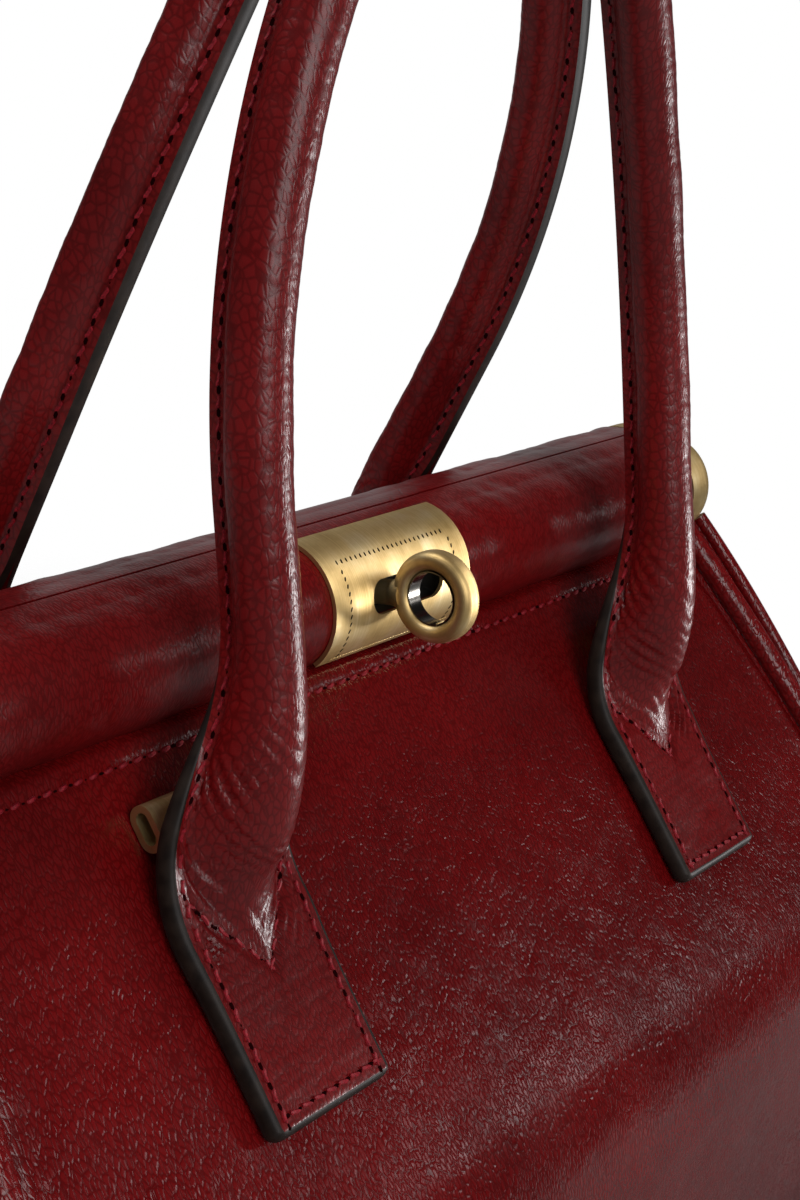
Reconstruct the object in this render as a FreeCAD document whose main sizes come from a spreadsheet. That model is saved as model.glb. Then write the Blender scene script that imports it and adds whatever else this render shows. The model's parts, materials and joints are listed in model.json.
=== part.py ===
import FreeCAD, Part
import math
import os

import Sketcher
from FreeCAD import Placement, Rotation, Vector

# Top handle bag: a leather bag closed by a frame of two hinged jaws, with a sliding lock and rolled handles.
# Millimetres, +Z up, X along the bag, front towards -Y, origin on the floor under the middle of the base.

SIZES = [
    # the leather body
    ("foot_height", 6, "height of the base studs"),
    ("foot_radius", 8, "radius of a base stud"),
    ("foot_flat", 4.5, "radius of the flat that a stud stands on"),
    ("foot_shank", 2, "radius of the shank riveted through the base"),
    ("foot_inset", 26, "stud centre to the edge of the base"),
    ("base_length", 268, "length of the base"),
    ("base_thick", 3, "thickness of the base leather"),
    ("base_corner", 3, "rounding of the base's upright corners"),
    ("board_thick", 2.5, "thickness of the stiffener board"),
    ("wall", 2, "thickness of the panel leather"),
    ("lining_thick", 0.8, "thickness of the lining"),
    ("sewn_gap", 0.1, "gap between pieces sewn to each other"),
    ("soft_gap", 0.3, "gap between soft pieces that move apart"),
    ("top_lean", 18, "how far a gusset leans in at the seam under the roll"),
    ("roof_angle", 44, "slope of the roof from upright, degrees"),
    ("roof_length", 84, "straight length of the roof down its slope"),
    ("shoulder_radius", 40, "bend from the roof to the upright wall"),
    ("gusset_drop", 1, "gusset's top edge below the roll"),
    ("piping_width", 3.6, "width of the piped seam"),
    ("piping_proud", 1.2, "how far the piping stands out of the panels"),
    # the frame and its rolls
    ("frame_height", 200, "floor to the ridge of the closed frame"),
    ("roll_radius", 11.8, "outer radius of a leather roll"),
    ("roll_offset", 4.2, "roll centre to the middle plane"),
    ("roll_drop", 13.05, "roll centre below the ridge"),
    ("roll_short", 3, "roll's end short of the panel's upper corner"),
    ("cover_thick", 2.2, "thickness of the roll's leather and padding"),
    ("middle_gap", 0.5, "gap between the closed rolls"),
    ("seam_angle", 46.8, "where the panel meets the roll, degrees below level"),
    ("seam_reach", 1.4, "gap from the roll to the panel's top edge"),
    ("flap_length", 10, "flap of the roll cover sewn inside the panel"),
    ("flap_thick", 1.5, "thickness of that flap"),
    ("cap_radius", 11.7, "radius of a brass end cap"),
    ("cap_length", 11.6, "length of a brass end cap"),
    ("cap_edge", 6, "rounding of the end cap's rim"),
    ("arm_inset", 3, "arm's outer face to the roll's end"),
    ("arm_clear", 6.4, "arm's outer face to the hinge plate, at the pin"),
    ("arm_width", 8, "width of a frame arm"),
    ("arm_thick", 2, "thickness of a frame arm"),
    ("arm_lap", 0.9, "gap between the two arms on one pin"),
    ("hinge_drop", 125, "hinge pin below the ridge"),
    ("eye_radius", 6, "radius of the arm's eye"),
    ("pin_radius", 2.5, "radius of a hinge pin"),
    ("pin_fit", 0.05, "radial clearance of the eye on its pin"),
    ("hinge_plate_thick", 2, "thickness of the hinge plate on the gusset"),
    ("hinge_plate_width", 24, "width of the hinge plate"),
    ("hinge_plate_height", 34, "height of the hinge plate"),
    # the lock
    ("plate_length", 42, "length of the lock plate"),
    ("plate_thick", 0.8, "thickness of the lock plate"),
    ("plate_seat", 0.05, "gap from the roll to the lock plate"),
    ("plate_top_angle", 91, "upper edge of the plate, degrees above level"),
    ("plate_low_angle", 41, "lower edge of the plate, degrees below level"),
    ("slot_angle", 15, "slot of the lock, degrees above level"),
    ("slot_left", 10, "slot end left of the middle"),
    ("slot_right", 12, "slot end right of the middle"),
    ("slot_height", 6.5, "height of the slot"),
    ("knob_left", 3, "ring left of the middle, at rest"),
    ("ring_radius", 8.5, "outer radius of the ring"),
    ("ring_hole", 5, "radius of the ring's hole"),
    ("ring_width", 5, "width of the ring along the bag"),
    ("ring_edge", 1.7, "rounding of the ring's section"),
    ("ring_stand", 0.3, "ring clear of the lock plate"),
    ("neck_radius", 3, "radius of the neck at the ring"),
    ("stem_radius", 2.4, "radius of the stem in the slot"),
    ("window_left", 18, "lock window in the bar, left of the middle"),
    ("window_right", 26, "lock window in the bar, right of the middle"),
    ("window_height", 11, "height of the lock window"),
    ("block_length", 11.5, "length of the sliding block"),
    ("block_depth", 7, "depth of the sliding block"),
    ("block_fit", 0.2, "clearance of the block in its window"),
    ("bolt_radius", 1.6, "radius of the bolt"),
    ("bolt_length", 11, "length of the bolt beyond the block"),
    ("bolt_fit", 0.3, "radial clearance of the bolt in the catch"),
    ("catch_start", 11.5, "catch tongue right of the middle"),
    ("catch_thick", 3, "thickness of the catch tongue"),
    ("catch_height", 7, "height of the catch tongue"),
    ("catch_reach", 11, "how far the tongue crosses the middle plane"),
    ("catch_root", 8, "how far the tongue sits in the back bar"),
    ("catch_fit", 0.1, "gap of the tongue in its pocket"),
    ("tongue_room", 0.6, "gap round the tongue where it enters the front roll"),
    # the handles
    ("leg_spacing", 131, "distance between the two legs of a handle"),
    ("leg_rise", 20, "straight part of a leg above the ridge"),
    ("front_lean", 15, "lean of the front legs towards the middle, degrees"),
    ("front_sway", 6, "where the front legs start to lean, below the ridge"),
    ("back_lean", 19, "lean of the back legs towards the middle, degrees"),
    ("back_sway", 20, "where the back legs start to lean, below the ridge"),
    ("sway_radius", 80, "bend of a leg from upright to its lean"),
    ("crown_shift", 3.9, "how far both handles' tops hang over to the front"),
    ("cord_radius", 5.8, "outer radius of the rolled handle"),
    ("core_radius", 4, "radius of the rope core"),
    ("flange_reach", 8.9, "painted edge of the handle to the roll's centre"),
    ("flange_thick", 4, "thickness of the stitched flange"),
    ("handle_gap", 0.5, "gap between the two handles at the top"),
    ("arch_rise", 143, "middle of the arch above the ridge"),
    ("arch_ratio", 2.36, "tangent of the leg's arc to that of the top's arc"),
    ("elbow_down", 26, "elbow of the leg below the seam, down the roof"),
    ("elbow_radius", 20, "bend of the leg on to the roof"),
    ("neck_end", 41.7, "tip of the rolled neck below the seam"),
    ("neck_tip", 1, "radius of the rolled neck at its tip"),
    ("neck_edge", 1, "tab's leather beside the neck at its upper end"),
    ("tab_width", 29.8, "width of a tab"),
    ("tab_thick", 4, "thickness of a tab"),
    ("tab_start", 20, "upper end of a tab below the seam"),
    ("tab_shoulder", 38.5, "where a tab reaches its full width"),
    ("tab_end", 66.9, "lower end of a tab below the seam"),
    ("tab_corner", 2, "rounding of a tab's lower corners"),
    ("keeper_length", 9.5, "length of a strap keeper"),
    ("keeper_height", 8, "height of a strap keeper on the roof"),
    ("keeper_depth", 5, "how far a strap keeper stands out"),
    ("keeper_wall", 1.2, "thickness of the keeper's brass strip"),
    ("keeper_down", 10.5, "strap keeper below the seam"),
    ("keeper_offset", 1.5, "strap keeper's inner end to the leg's middle"),
]

doc = FreeCAD.newDocument("top_handle_bag")
sheet = doc.addObject("Spreadsheet::Sheet", "sizes")
for row, (alias, value, note) in enumerate(SIZES, 1):
    sheet.set(f"A{row}", alias)
    sheet.set(f"B{row}", str(value))
    sheet.setAlias(f"B{row}", alias)
    sheet.set(f"C{row}", note)
doc.recompute()

FRONT, BACK = -1, 1
LEFT, RIGHT = -1, 1
X_AXIS, Y_AXIS, Z_AXIS = Vector(1, 0, 0), Vector(0, 1, 0), Vector(0, 0, 1)
sub_parts = []


def size(alias):
    """The number in the sheet's cell of that name."""
    return float(sheet.get(alias))


def keep(item, label):
    """Names a sub-part and puts it on the list of files."""
    item.Label = label
    sub_parts.append(item)
    return item


def solid(label, shape):
    """A sub-part whose shape is worked out from the sheet's sizes."""
    item = doc.addObject("Part::Feature", label)
    item.Shape = shape
    item.Placement = Placement()
    return keep(item, label)


# Places that several pieces share, all in the side view of the back half: y outwards, z up.
ROOF = math.radians(size("roof_angle"))
DOWN_ROOF = (math.sin(ROOF), -math.cos(ROOF))
OFF_ROOF = (math.cos(ROOF), math.sin(ROOF))
ROLL_Y = size("roll_offset")
ROLL_Z = size("frame_height") - size("roll_drop")
SEAM = math.radians(size("seam_angle"))
SEAM_Y = ROLL_Y + (size("roll_radius") + size("seam_reach")) * math.cos(SEAM)
SEAM_Z = ROLL_Z - (size("roll_radius") + size("seam_reach")) * math.sin(SEAM)
SHOULDER_Y = SEAM_Y + size("roof_length") * DOWN_ROOF[0] - size("shoulder_radius") * OFF_ROOF[0]
SHOULDER_Z = SEAM_Z + size("roof_length") * DOWN_ROOF[1] - size("shoulder_radius") * OFF_ROOF[1]
HALF_DEPTH = SHOULDER_Y + size("shoulder_radius")
HALF_LENGTH = size("base_length") / 2
FLOOR = size("foot_height") + size("base_thick")
HINGE_Z = size("frame_height") - size("hinge_drop")
WIDE = size("base_length")
HALF_QUARTER = math.radians(45)

# The gusset stands upright to the top of its hinge plate, then leans in along one arc up to the seam.
SIDE_UPRIGHT = HINGE_Z + size("hinge_plate_height") / 2
LEAN_RISE = SEAM_Z - SIDE_UPRIGHT
SIDE_RADIUS = (size("top_lean") ** 2 + LEAN_RISE ** 2) / (2 * size("top_lean"))


def on_roof(down, off):
    """The place that lies so far down the roof from the seam and so far off the leather."""
    y = SEAM_Y + down * DOWN_ROOF[0] + off * OFF_ROOF[0]
    z = SEAM_Z + down * DOWN_ROOF[1] + off * OFF_ROOF[1]
    return y, z


def side_view(side):
    """Maps (y outwards, z) of one half of the bag into space."""
    return lambda y, z: Vector(0, side * y, z)


def front_view(x, z):
    return Vector(x, 0, z)


def face(view, start, *steps):
    """A face bounded by lines and arcs: a step is the next point, or a point on the arc and its end."""
    edges = []
    here = view(*start)
    for step in steps + (start,):
        is_arc = isinstance(step[0], tuple)
        there = view(*(step[1] if is_arc else step))
        if is_arc:
            edges.append(Part.Arc(here, view(*step[0]), there).toShape())
        elif (there - here).Length > 1e-6:
            edges.append(Part.LineSegment(here, there).toShape())
        here = there
    return Part.Face(Part.Wire(edges))


def across(flat, low, high, axis=X_AXIS):
    """A face carried along an axis from one place to another."""
    flat.translate(axis * low)
    return flat.extrude(axis * (high - low))


def wall_line(inset):
    """The roof, shoulder and wall at an inset from the outer leather, from the seam down to the base."""
    radius = size("shoulder_radius") - inset
    roof_end = (SHOULDER_Y + radius * OFF_ROOF[0], SHOULDER_Z + radius * OFF_ROOF[1])
    bend = (SHOULDER_Y + radius * math.cos(ROOF / 2), SHOULDER_Z + radius * math.sin(ROOF / 2))
    return on_roof(0, -inset), roof_end, bend, (SHOULDER_Y + radius, SHOULDER_Z), (SHOULDER_Y + radius, FLOOR)


def wall_band(side, outer, inner):
    """The section of a sheet that follows the wall between two insets."""
    top, end, bend, shoulder, foot = wall_line(outer)
    top_in, end_in, bend_in, shoulder_in, foot_in = wall_line(inner)
    return face(side_view(side), top, end, (bend, shoulder), foot,
                foot_in, shoulder_in, (bend_in, end_in), top_in)


def side_line(inset, high):
    """The gusset's line in the front view: its foot, the start, middle and top of its arc."""
    radius = SIDE_RADIUS - inset
    middle = HALF_LENGTH - SIDE_RADIUS

    def at(z):
        return middle + math.sqrt(radius ** 2 - (z - SIDE_UPRIGHT) ** 2), z

    return (HALF_LENGTH - inset, FLOOR), at(SIDE_UPRIGHT), at((SIDE_UPRIGHT + high) / 2), at(high)


def between_gussets(inset, high):
    """The space between the two gussets at an inset, as a solid through the whole depth."""
    foot, low, bend, top = side_line(inset, high)

    def left(point):
        return -point[0], point[1]

    flat = face(front_view, foot, low, (bend, top), left(top), (left(bend), left(low)), left(foot))
    return across(flat, -WIDE, WIDE, Y_AXIS)


def side_band(side, outer, inner, high):
    """A sheet that follows one gusset between two insets, as a solid through the whole depth."""
    foot, low, bend, top = side_line(outer, high)
    foot_in, low_in, bend_in, top_in = side_line(inner, high)
    flat = face(lambda x, z: front_view(side * x, z), foot, low, (bend, top),
                top_in, (bend_in, low_in), foot_in)
    return across(flat, -WIDE, WIDE, Y_AXIS)


def between_panels(inset, high):
    """The space between the two panels at an inset, up to a height, as a solid through the whole length."""
    top, end, bend, shoulder, foot = wall_line(inset)
    roof_top = (top[0] + (top[1] - high) * math.tan(ROOF), high)

    def front(point):
        return -point[0], point[1]

    flat = face(side_view(BACK), foot, shoulder, (bend, end), roof_top, front(roof_top), front(end),
                (front(bend), front(shoulder)), front(foot))
    return across(flat, -WIDE, WIDE)


def cylinder(radius, start, end):
    """A round bar from one place to another."""
    return Part.makeCylinder(radius, (end - start).Length, start, end - start)


def box(low, high):
    """A block between two opposite corners."""
    return Part.makeBox(high[0] - low[0], high[1] - low[1], high[2] - low[2], Vector(*low))


def origin_plane(body, role):
    return next(item for item in body.Origin.OriginFeatures if item.Role == role)


def sketch_on(body, role, name):
    sketch = body.newObject("Sketcher::SketchObject", name)
    sketch.AttachmentSupport = [(origin_plane(body, role), "")]
    sketch.MapMode = "FlatFace"
    return sketch


def slab(label, length, depth, thick, height):
    """A flat piece, centred on the bag, padded from a rectangle whose sizes are expressions of the sheet."""
    body = doc.addObject("PartDesign::Body", label)
    sketch = sketch_on(body, "XY_Plane", label + "_outline")
    corners = [Vector(-1, -1, 0), Vector(1, -1, 0), Vector(1, 1, 0), Vector(-1, 1, 0)]
    for index, corner in enumerate(corners):
        sketch.addGeometry(Part.LineSegment(corner, corners[(index + 1) % 4]))
    for index in range(4):
        sketch.addConstraint(Sketcher.Constraint("Coincident", index, 2, (index + 1) % 4, 1))
        sketch.addConstraint(Sketcher.Constraint("Vertical" if index % 2 else "Horizontal", index))
    sketch.addConstraint(Sketcher.Constraint("Symmetric", 0, 1, 2, 1, -1, 1))
    for name, kind, line, formula in (("long", "DistanceX", 0, length), ("deep", "DistanceY", 1, depth)):
        index = sketch.addConstraint(Sketcher.Constraint(kind, line, 1, line, 2, 2))
        sketch.renameConstraint(index, name)
        sketch.setExpression("Constraints." + name, formula)
    pad = body.newObject("PartDesign::Pad", label + "_pad")
    pad.Profile = sketch
    pad.setExpression("Length", thick)
    body.setExpression("Placement.Base.z", height)
    return body


# Base: a leather panel with rounded corners, a stiffener board on it, and four brass studs through both.
DEPTH_CELLS = ("(sizes.roll_offset + (sizes.roll_radius + sizes.seam_reach) * cos(sizes.seam_angle * 1deg)"
               " + sizes.roof_length * sin(sizes.roof_angle * 1deg)"
               " + sizes.shoulder_radius * (1 - cos(sizes.roof_angle * 1deg)))")
INSIDE = "(sizes.wall + 2 * sizes.sewn_gap + sizes.lining_thick)"
FOOT_PLACES = [(side_x * (HALF_LENGTH - size("foot_inset")), side_y * (HALF_DEPTH - size("foot_inset")))
               for side_x in (LEFT, RIGHT) for side_y in (FRONT, BACK)]


def drilled(label, body):
    """The slab with a hole for each stud's shank."""
    holes = []
    for x, y in FOOT_PLACES:
        hole = doc.addObject("Part::Cylinder", label + "_hole")
        hole.setExpression("Radius", "sizes.foot_shank + sizes.sewn_gap")
        hole.setExpression("Height", "sizes.foot_height + sizes.base_thick + sizes.board_thick")
        hole.setExpression("Placement.Base.z", "sizes.foot_height")
        hole.Placement.Base = Vector(x, y, 0)
        holes.append(hole)
    group = doc.addObject("Part::Compound", label + "_holes")
    group.Links = holes
    cut = doc.addObject("Part::Cut", label)
    cut.Base, cut.Tool = body, group
    return keep(cut, label)


base = slab("base_blank", "sizes.base_length", "2 * " + DEPTH_CELLS, "sizes.base_thick", "sizes.foot_height")
doc.recompute()
base_pad = base.Tip
upright = [f"Edge{number}" for number, edge in enumerate(base_pad.Shape.Edges, 1)
           if abs(edge.tangentAt(edge.FirstParameter).z) > 0.99]
rounded = base.newObject("PartDesign::Fillet", "base_corners")
rounded.Base = (base_pad, upright)
rounded.setExpression("Radius", "sizes.base_corner")
base.Tip = rounded
drilled("base_panel", base)
board = slab("board_blank", f"sizes.base_length - 2 * {INSIDE} - 2 * sizes.soft_gap",
             f"2 * ({DEPTH_CELLS} - {INSIDE} - sizes.soft_gap)", "sizes.board_thick",
             "sizes.foot_height + sizes.base_thick")
drilled("base_board", board)


def stud():
    """Half section of a stud: a flat to stand on, a rounded side, and the shank."""
    radius, flat, high = size("foot_radius"), size("foot_flat"), size("foot_height")
    bulge = (flat + (radius - flat) * math.sin(HALF_QUARTER), high * (1 - math.cos(HALF_QUARTER)))
    shank, top = size("foot_shank"), FLOOR + size("board_thick")
    half = face(front_view, (0, 0), (flat, 0), (bulge, (radius, high)), (shank, high), (shank, top), (0, top))
    return half.revolve(Vector(), Z_AXIS, 360)


solid("base_feet", Part.Compound([stud().translated(Vector(x, y, 0)) for x, y in FOOT_PLACES]))

# Walls: each panel is one sheet from the seam under its roll, down the roof and the wall, to the base.
SEAM_INSET = size("wall") + size("sewn_gap")
ABOVE_SEAM = SEAM_Z + size("wall")
GUSSET_TOP = ROLL_Z - size("roll_radius") - size("gusset_drop")
for side, name in ((FRONT, "front"), (BACK, "back")):
    sheet_face = wall_band(side, 0, size("wall"))
    panel = across(sheet_face, -WIDE, WIDE)
    solid(name + "_panel", panel.common(between_gussets(size("piping_width"), ABOVE_SEAM)))
    lining_face = wall_band(side, SEAM_INSET, SEAM_INSET + size("lining_thick"))
    lining = across(lining_face, -WIDE, WIDE).common(between_gussets(SEAM_INSET, GUSSET_TOP))
    lining_top = on_roof(size("flap_length") + size("wall"), -size("wall"))[1]
    below_flap = box((-WIDE, -WIDE, 0), (WIDE, WIDE, lining_top))
    solid(name + "_lining", lining.common(below_flap))
    welt = across(wall_band(side, -size("piping_proud"), size("wall")), -WIDE, WIDE)
    welt_inner = size("piping_width") - size("sewn_gap")
    sides = [side_band(end, -size("piping_proud"), welt_inner, GUSSET_TOP) for end in (LEFT, RIGHT)]
    solid(name + "_piping", Part.Compound([welt.common(band).Solids[0] for band in sides]))
for end, name in ((LEFT, "left"), (RIGHT, "right")):
    leather = side_band(end, 0, size("wall"), GUSSET_TOP)
    solid(name + "_gusset", leather.common(between_panels(SEAM_INSET, GUSSET_TOP)))

# Hinges: a plate on each gusset's inner face holds the pin that both arms turn on.
PLATE_FACE = HALF_LENGTH - SEAM_INSET
PLATE_INSIDE = PLATE_FACE - size("hinge_plate_thick")
ARM_FOOT = PLATE_INSIDE - size("arm_clear")
PIN_START = ARM_FOOT - 2 * size("arm_thick") - 2 * size("arm_lap")
for end, name in ((LEFT, "left"), (RIGHT, "right")):
    plate = doc.addObject("Part::Box", name + "_hinge_plate")
    plate.setExpression("Length", "sizes.hinge_plate_thick")
    plate.setExpression("Width", "sizes.hinge_plate_width")
    plate.setExpression("Height", "sizes.hinge_plate_height")
    inner = PLATE_INSIDE if end == RIGHT else -PLATE_FACE
    plate_foot = HINGE_Z - size("hinge_plate_height") / 2
    plate.Placement.Base = Vector(inner, -size("hinge_plate_width") / 2, plate_foot)
    keep(plate, name + "_hinge_plate")
pins = []
for end in (LEFT, RIGHT):
    start = Vector(end * PIN_START, 0, HINGE_Z)
    seat = Vector(end * PLATE_INSIDE, 0, HINGE_Z)
    pins.append(cylinder(size("pin_radius"), start, seat))
solid("hinge_pins", Part.Compound(pins))

# Jaws: a half-round bar inside each roll with an arm at either end, and the leather roll around the bar.
BAR_RADIUS = size("roll_radius") - size("cover_thick")
HALF_ROLL = HALF_LENGTH - size("top_lean") - size("roll_short")
ARM_TOP = HALF_ROLL - size("arm_inset")
MIDDLE = size("middle_gap") / 2
BAR_FACE = MIDDLE + size("cover_thick")


def half_round(side, radius, flat):
    """A round bar along the roll, cut flat at a distance from the middle plane."""
    centre = Vector(0, side * ROLL_Y, ROLL_Z)
    bar = cylinder(radius, centre - X_AXIS * HALF_ROLL, centre + X_AXIS * HALF_ROLL)
    low, high = sorted((side * flat, side * WIDE))
    return bar.common(box((-WIDE, low, 0), (WIDE, high, 2 * size("frame_height"))))


def arm(side, end, spare=0):
    """A flat arm that leans out from the bar to its eye on the hinge pin; spare widens it all round."""
    half = size("arm_width") / 2 + spare
    eye = size("eye_radius") + spare
    middle = (BAR_FACE + ROLL_Y + BAR_RADIUS) / 2
    outline = face(side_view(side), (middle - half, ROLL_Z), (middle + half, ROLL_Z), (eye, HINGE_Z),
                   ((0, HINGE_Z - eye), (-eye, HINGE_Z)))
    shift = 0 if side == FRONT else size("arm_thick") + size("arm_lap")
    lean = (ARM_TOP - ARM_FOOT) / (ROLL_Z - HINGE_Z)
    above, below = ROLL_Z + size("wall"), HINGE_Z - 2 * eye
    outer, inner = spare - shift, -shift - size("arm_thick") - spare

    def leaning(off, z):
        return ARM_FOOT + lean * (z - HINGE_Z) + off, z

    strip = face(lambda x, z: front_view(end * x, z), leaning(outer, below), leaning(outer, above),
                 leaning(inner, above), leaning(inner, below))
    return across(outline, -WIDE, WIDE).common(across(strip, -WIDE, WIDE, Y_AXIS))


WINDOW_LOW = ROLL_Z - size("window_height") / 2
WINDOW_HIGH = ROLL_Z + size("window_height") / 2
LOCK_WINDOW = ((-size("window_left"), -WIDE, WINDOW_LOW), (size("window_right"), -MIDDLE / 2, WINDOW_HIGH))
SLOT = math.radians(size("slot_angle"))
SLOT_OUT = Vector(0, -math.cos(SLOT), math.sin(SLOT))
ROLL_CENTRE = Vector(0, -ROLL_Y, ROLL_Z)


def slot_cut():
    """The lock's slot: a flat bar with rounded ends, cut outwards from the roll's centre."""
    radius = size("slot_height") / 2
    left = size("slot_height") / 2 - size("slot_left")
    right = size("slot_right") - size("slot_height") / 2
    reach = SLOT_OUT * (2 * size("roll_radius"))
    up = SLOT_OUT.cross(X_AXIS)
    first, last = ROLL_CENTRE + X_AXIS * left, ROLL_CENTRE + X_AXIS * right
    ends = [cylinder(radius, start, start + reach) for start in (first, last)]
    corners = [first - up * radius, last - up * radius, last + up * radius, first + up * radius]
    middle = Part.Face(Part.makePolygon(corners + corners[:1])).extrude(reach)
    return middle.fuse(ends)


def catch_tongue(spare, tip):
    """The catch's tongue, from its root in the back bar to its tip; spare widens it all round."""
    start, half = size("catch_start"), size("catch_height") / 2 + spare
    root = MIDDLE + size("cover_thick") + size("catch_root") + spare
    end = start + size("catch_thick") + spare
    return box((start - spare, -tip, ROLL_Z - half), (end, root, ROLL_Z + half))


for side, name in ((FRONT, "front"), (BACK, "back")):
    bar = half_round(side, BAR_RADIUS, BAR_FACE)
    frame = bar.fuse([arm(side, end) for end in (LEFT, RIGHT)])
    eye_line = Vector(-WIDE, 0, HINGE_Z), Vector(WIDE, 0, HINGE_Z)
    frame = frame.cut(cylinder(size("pin_radius") + size("pin_fit"), *eye_line))
    cover = half_round(side, size("roll_radius"), MIDDLE)
    flap_off = -(size("wall") + size("soft_gap"))
    flap_in, flap_low = flap_off - size("flap_thick"), size("flap_length")
    flap = face(side_view(side), on_roof(-size("flap_thick"), flap_off), on_roof(flap_low, flap_off),
                on_roof(flap_low, flap_in), on_roof(-flap_low, flap_in))
    flap_half = ARM_TOP - size("arm_width")
    cover = cover.fuse(across(flap, -flap_half, flap_half))
    cover = cover.cut(half_round(side, BAR_RADIUS + size("sewn_gap"), BAR_FACE - size("sewn_gap")))
    cover = cover.cut([arm(side, end, size("soft_gap")) for end in (LEFT, RIGHT)])
    if side == FRONT:
        frame = frame.cut(box(*LOCK_WINDOW))
        tongue_way = catch_tongue(size("tongue_room"), BAR_FACE + size("sewn_gap"))
        cover = cover.cut([slot_cut(), tongue_way])
    else:
        frame = frame.cut(catch_tongue(size("catch_fit"), 0))
        cover = cover.cut(catch_tongue(size("catch_fit"), 0))
    solid(name + "_frame", frame)
    solid(name + "_roll_cover", cover)


def end_cap(side, end):
    """A brass cap on a roll's end: a disc with a rounded rim, cut flat at the middle plane."""
    radius, long, edge = size("cap_radius"), size("cap_length"), size("cap_edge")
    rim = (long - edge + edge * math.sin(HALF_QUARTER), radius - edge + edge * math.cos(HALF_QUARTER))
    half = face(lambda x, r: Vector(x, r, 0), (0, 0), (long, 0), (long, radius - edge),
                (rim, (long - edge, radius)), (0, radius))
    cap = half.revolve(Vector(), X_AXIS, 360)
    outwards = Rotation(Z_AXIS, 0 if end == RIGHT else 180)
    cap.Placement = Placement(Vector(end * HALF_ROLL, side * ROLL_Y, ROLL_Z), outwards)
    low, high = sorted((side * MIDDLE, side * WIDE))
    return cap.common(box((-WIDE, low, 0), (WIDE, high, 2 * size("frame_height"))))


for side, side_name in ((FRONT, "front"), (BACK, "back")):
    for end, end_name in ((LEFT, "left"), (RIGHT, "right")):
        solid(f"{side_name}_{end_name}_end_cap", end_cap(side, end))

# Lock: a curved plate over the front roll, a ring on a stem that slides in its slot, a bolt and a catch.
PLATE_INNER = size("roll_radius") + size("plate_seat")
PLATE_OUTER = PLATE_INNER + size("plate_thick")


def around_roll(radius, degrees):
    """A place around the front roll, at an angle above level, in the side view of the front half."""
    angle = math.radians(degrees)
    return ROLL_Y + radius * math.cos(angle), ROLL_Z + radius * math.sin(angle)


top_edge, low_edge = size("plate_top_angle"), -size("plate_low_angle")
between = (top_edge + low_edge) / 2
plate_face = face(side_view(FRONT), around_roll(PLATE_INNER, low_edge), around_roll(PLATE_OUTER, low_edge),
                  (around_roll(PLATE_OUTER, between), around_roll(PLATE_OUTER, top_edge)),
                  around_roll(PLATE_INNER, top_edge),
                  (around_roll(PLATE_INNER, between), around_roll(PLATE_INNER, low_edge)))
plate = across(plate_face, -size("plate_length") / 2, size("plate_length") / 2)
solid("lock_plate", plate.cut(slot_cut()))

KNOB_X = -size("knob_left")
RING_REACH = PLATE_OUTER + size("ring_stand") + size("ring_radius")
BLOCK_Y = BAR_FACE + size("block_fit") + size("block_depth") / 2


def ring():
    """The ring knob: a rounded section turned about an axis along the bag, with its neck and stem."""
    half, edge = size("ring_width") / 2, size("ring_edge")
    inner, outer = size("ring_hole"), size("ring_radius")
    slant = edge * (1 - math.sin(HALF_QUARTER))
    half_section = face(
        lambda x, r: Vector(x, r, 0), (-half + edge, inner), (half - edge, inner),
        ((half - slant, inner + slant), (half, inner + edge)), (half, outer - edge),
        ((half - slant, outer - slant), (half - edge, outer)), (-half + edge, outer),
        ((-half + slant, outer - slant), (-half, outer - edge)), (-half, inner + edge),
        ((-half + slant, inner + slant), (-half + edge, inner)))
    hoop = half_section.revolve(Vector(), X_AXIS, 360)
    middle = Vector(KNOB_X, 0, 0) + ROLL_CENTRE
    hoop.Placement = Placement(middle + SLOT_OUT * RING_REACH, Rotation())
    block_front = BLOCK_Y + size("block_depth") / 2
    stem_foot = (block_front - ROLL_Y) / math.cos(SLOT) + size("stem_radius") * math.tan(SLOT)
    stem_start = middle + SLOT_OUT * stem_foot
    neck_start = middle + SLOT_OUT * (PLATE_OUTER - size("plate_thick"))
    neck_long = RING_REACH - size("ring_radius") + size("ring_edge") - PLATE_OUTER + size("plate_thick")
    stem = cylinder(size("stem_radius"), stem_start, neck_start)
    neck = Part.makeCone(size("stem_radius"), size("neck_radius"), neck_long, neck_start, SLOT_OUT)
    return hoop.fuse([stem, neck])


solid("lock_ring", ring())
BLOCK_RIGHT = KNOB_X + size("stem_radius")
block_half = size("window_height") / 2 - size("block_fit")
block = box((BLOCK_RIGHT - size("block_length"), -BLOCK_Y - size("block_depth") / 2, ROLL_Z - block_half),
            (BLOCK_RIGHT, -BLOCK_Y + size("block_depth") / 2, ROLL_Z + block_half))
bolt_start = Vector(BLOCK_RIGHT, -BLOCK_Y, ROLL_Z)
bolt = cylinder(size("bolt_radius"), bolt_start, bolt_start + X_AXIS * size("bolt_length"))
solid("lock_bolt", block.fuse(bolt))
bolt_line = bolt_start - X_AXIS * WIDE, bolt_start + X_AXIS * WIDE
bolt_hole = cylinder(size("bolt_radius") + size("bolt_fit"), *bolt_line)
solid("lock_catch", catch_tongue(0, size("catch_reach")).cut(bolt_hole))

# Handles: a leather roll with a stitched flange over a rope, from a bend on the roof up and over in an arch.
LEG_X = size("leg_spacing") / 2
NECK_OFF = size("soft_gap") + size("cord_radius")
ELBOW = on_roof(size("elbow_down"), NECK_OFF)
BEND_TANGENT = size("elbow_radius") * math.tan(ROOF / 2)
LEG_START = (ELBOW[0], ELBOW[1] + BEND_TANGENT)


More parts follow.
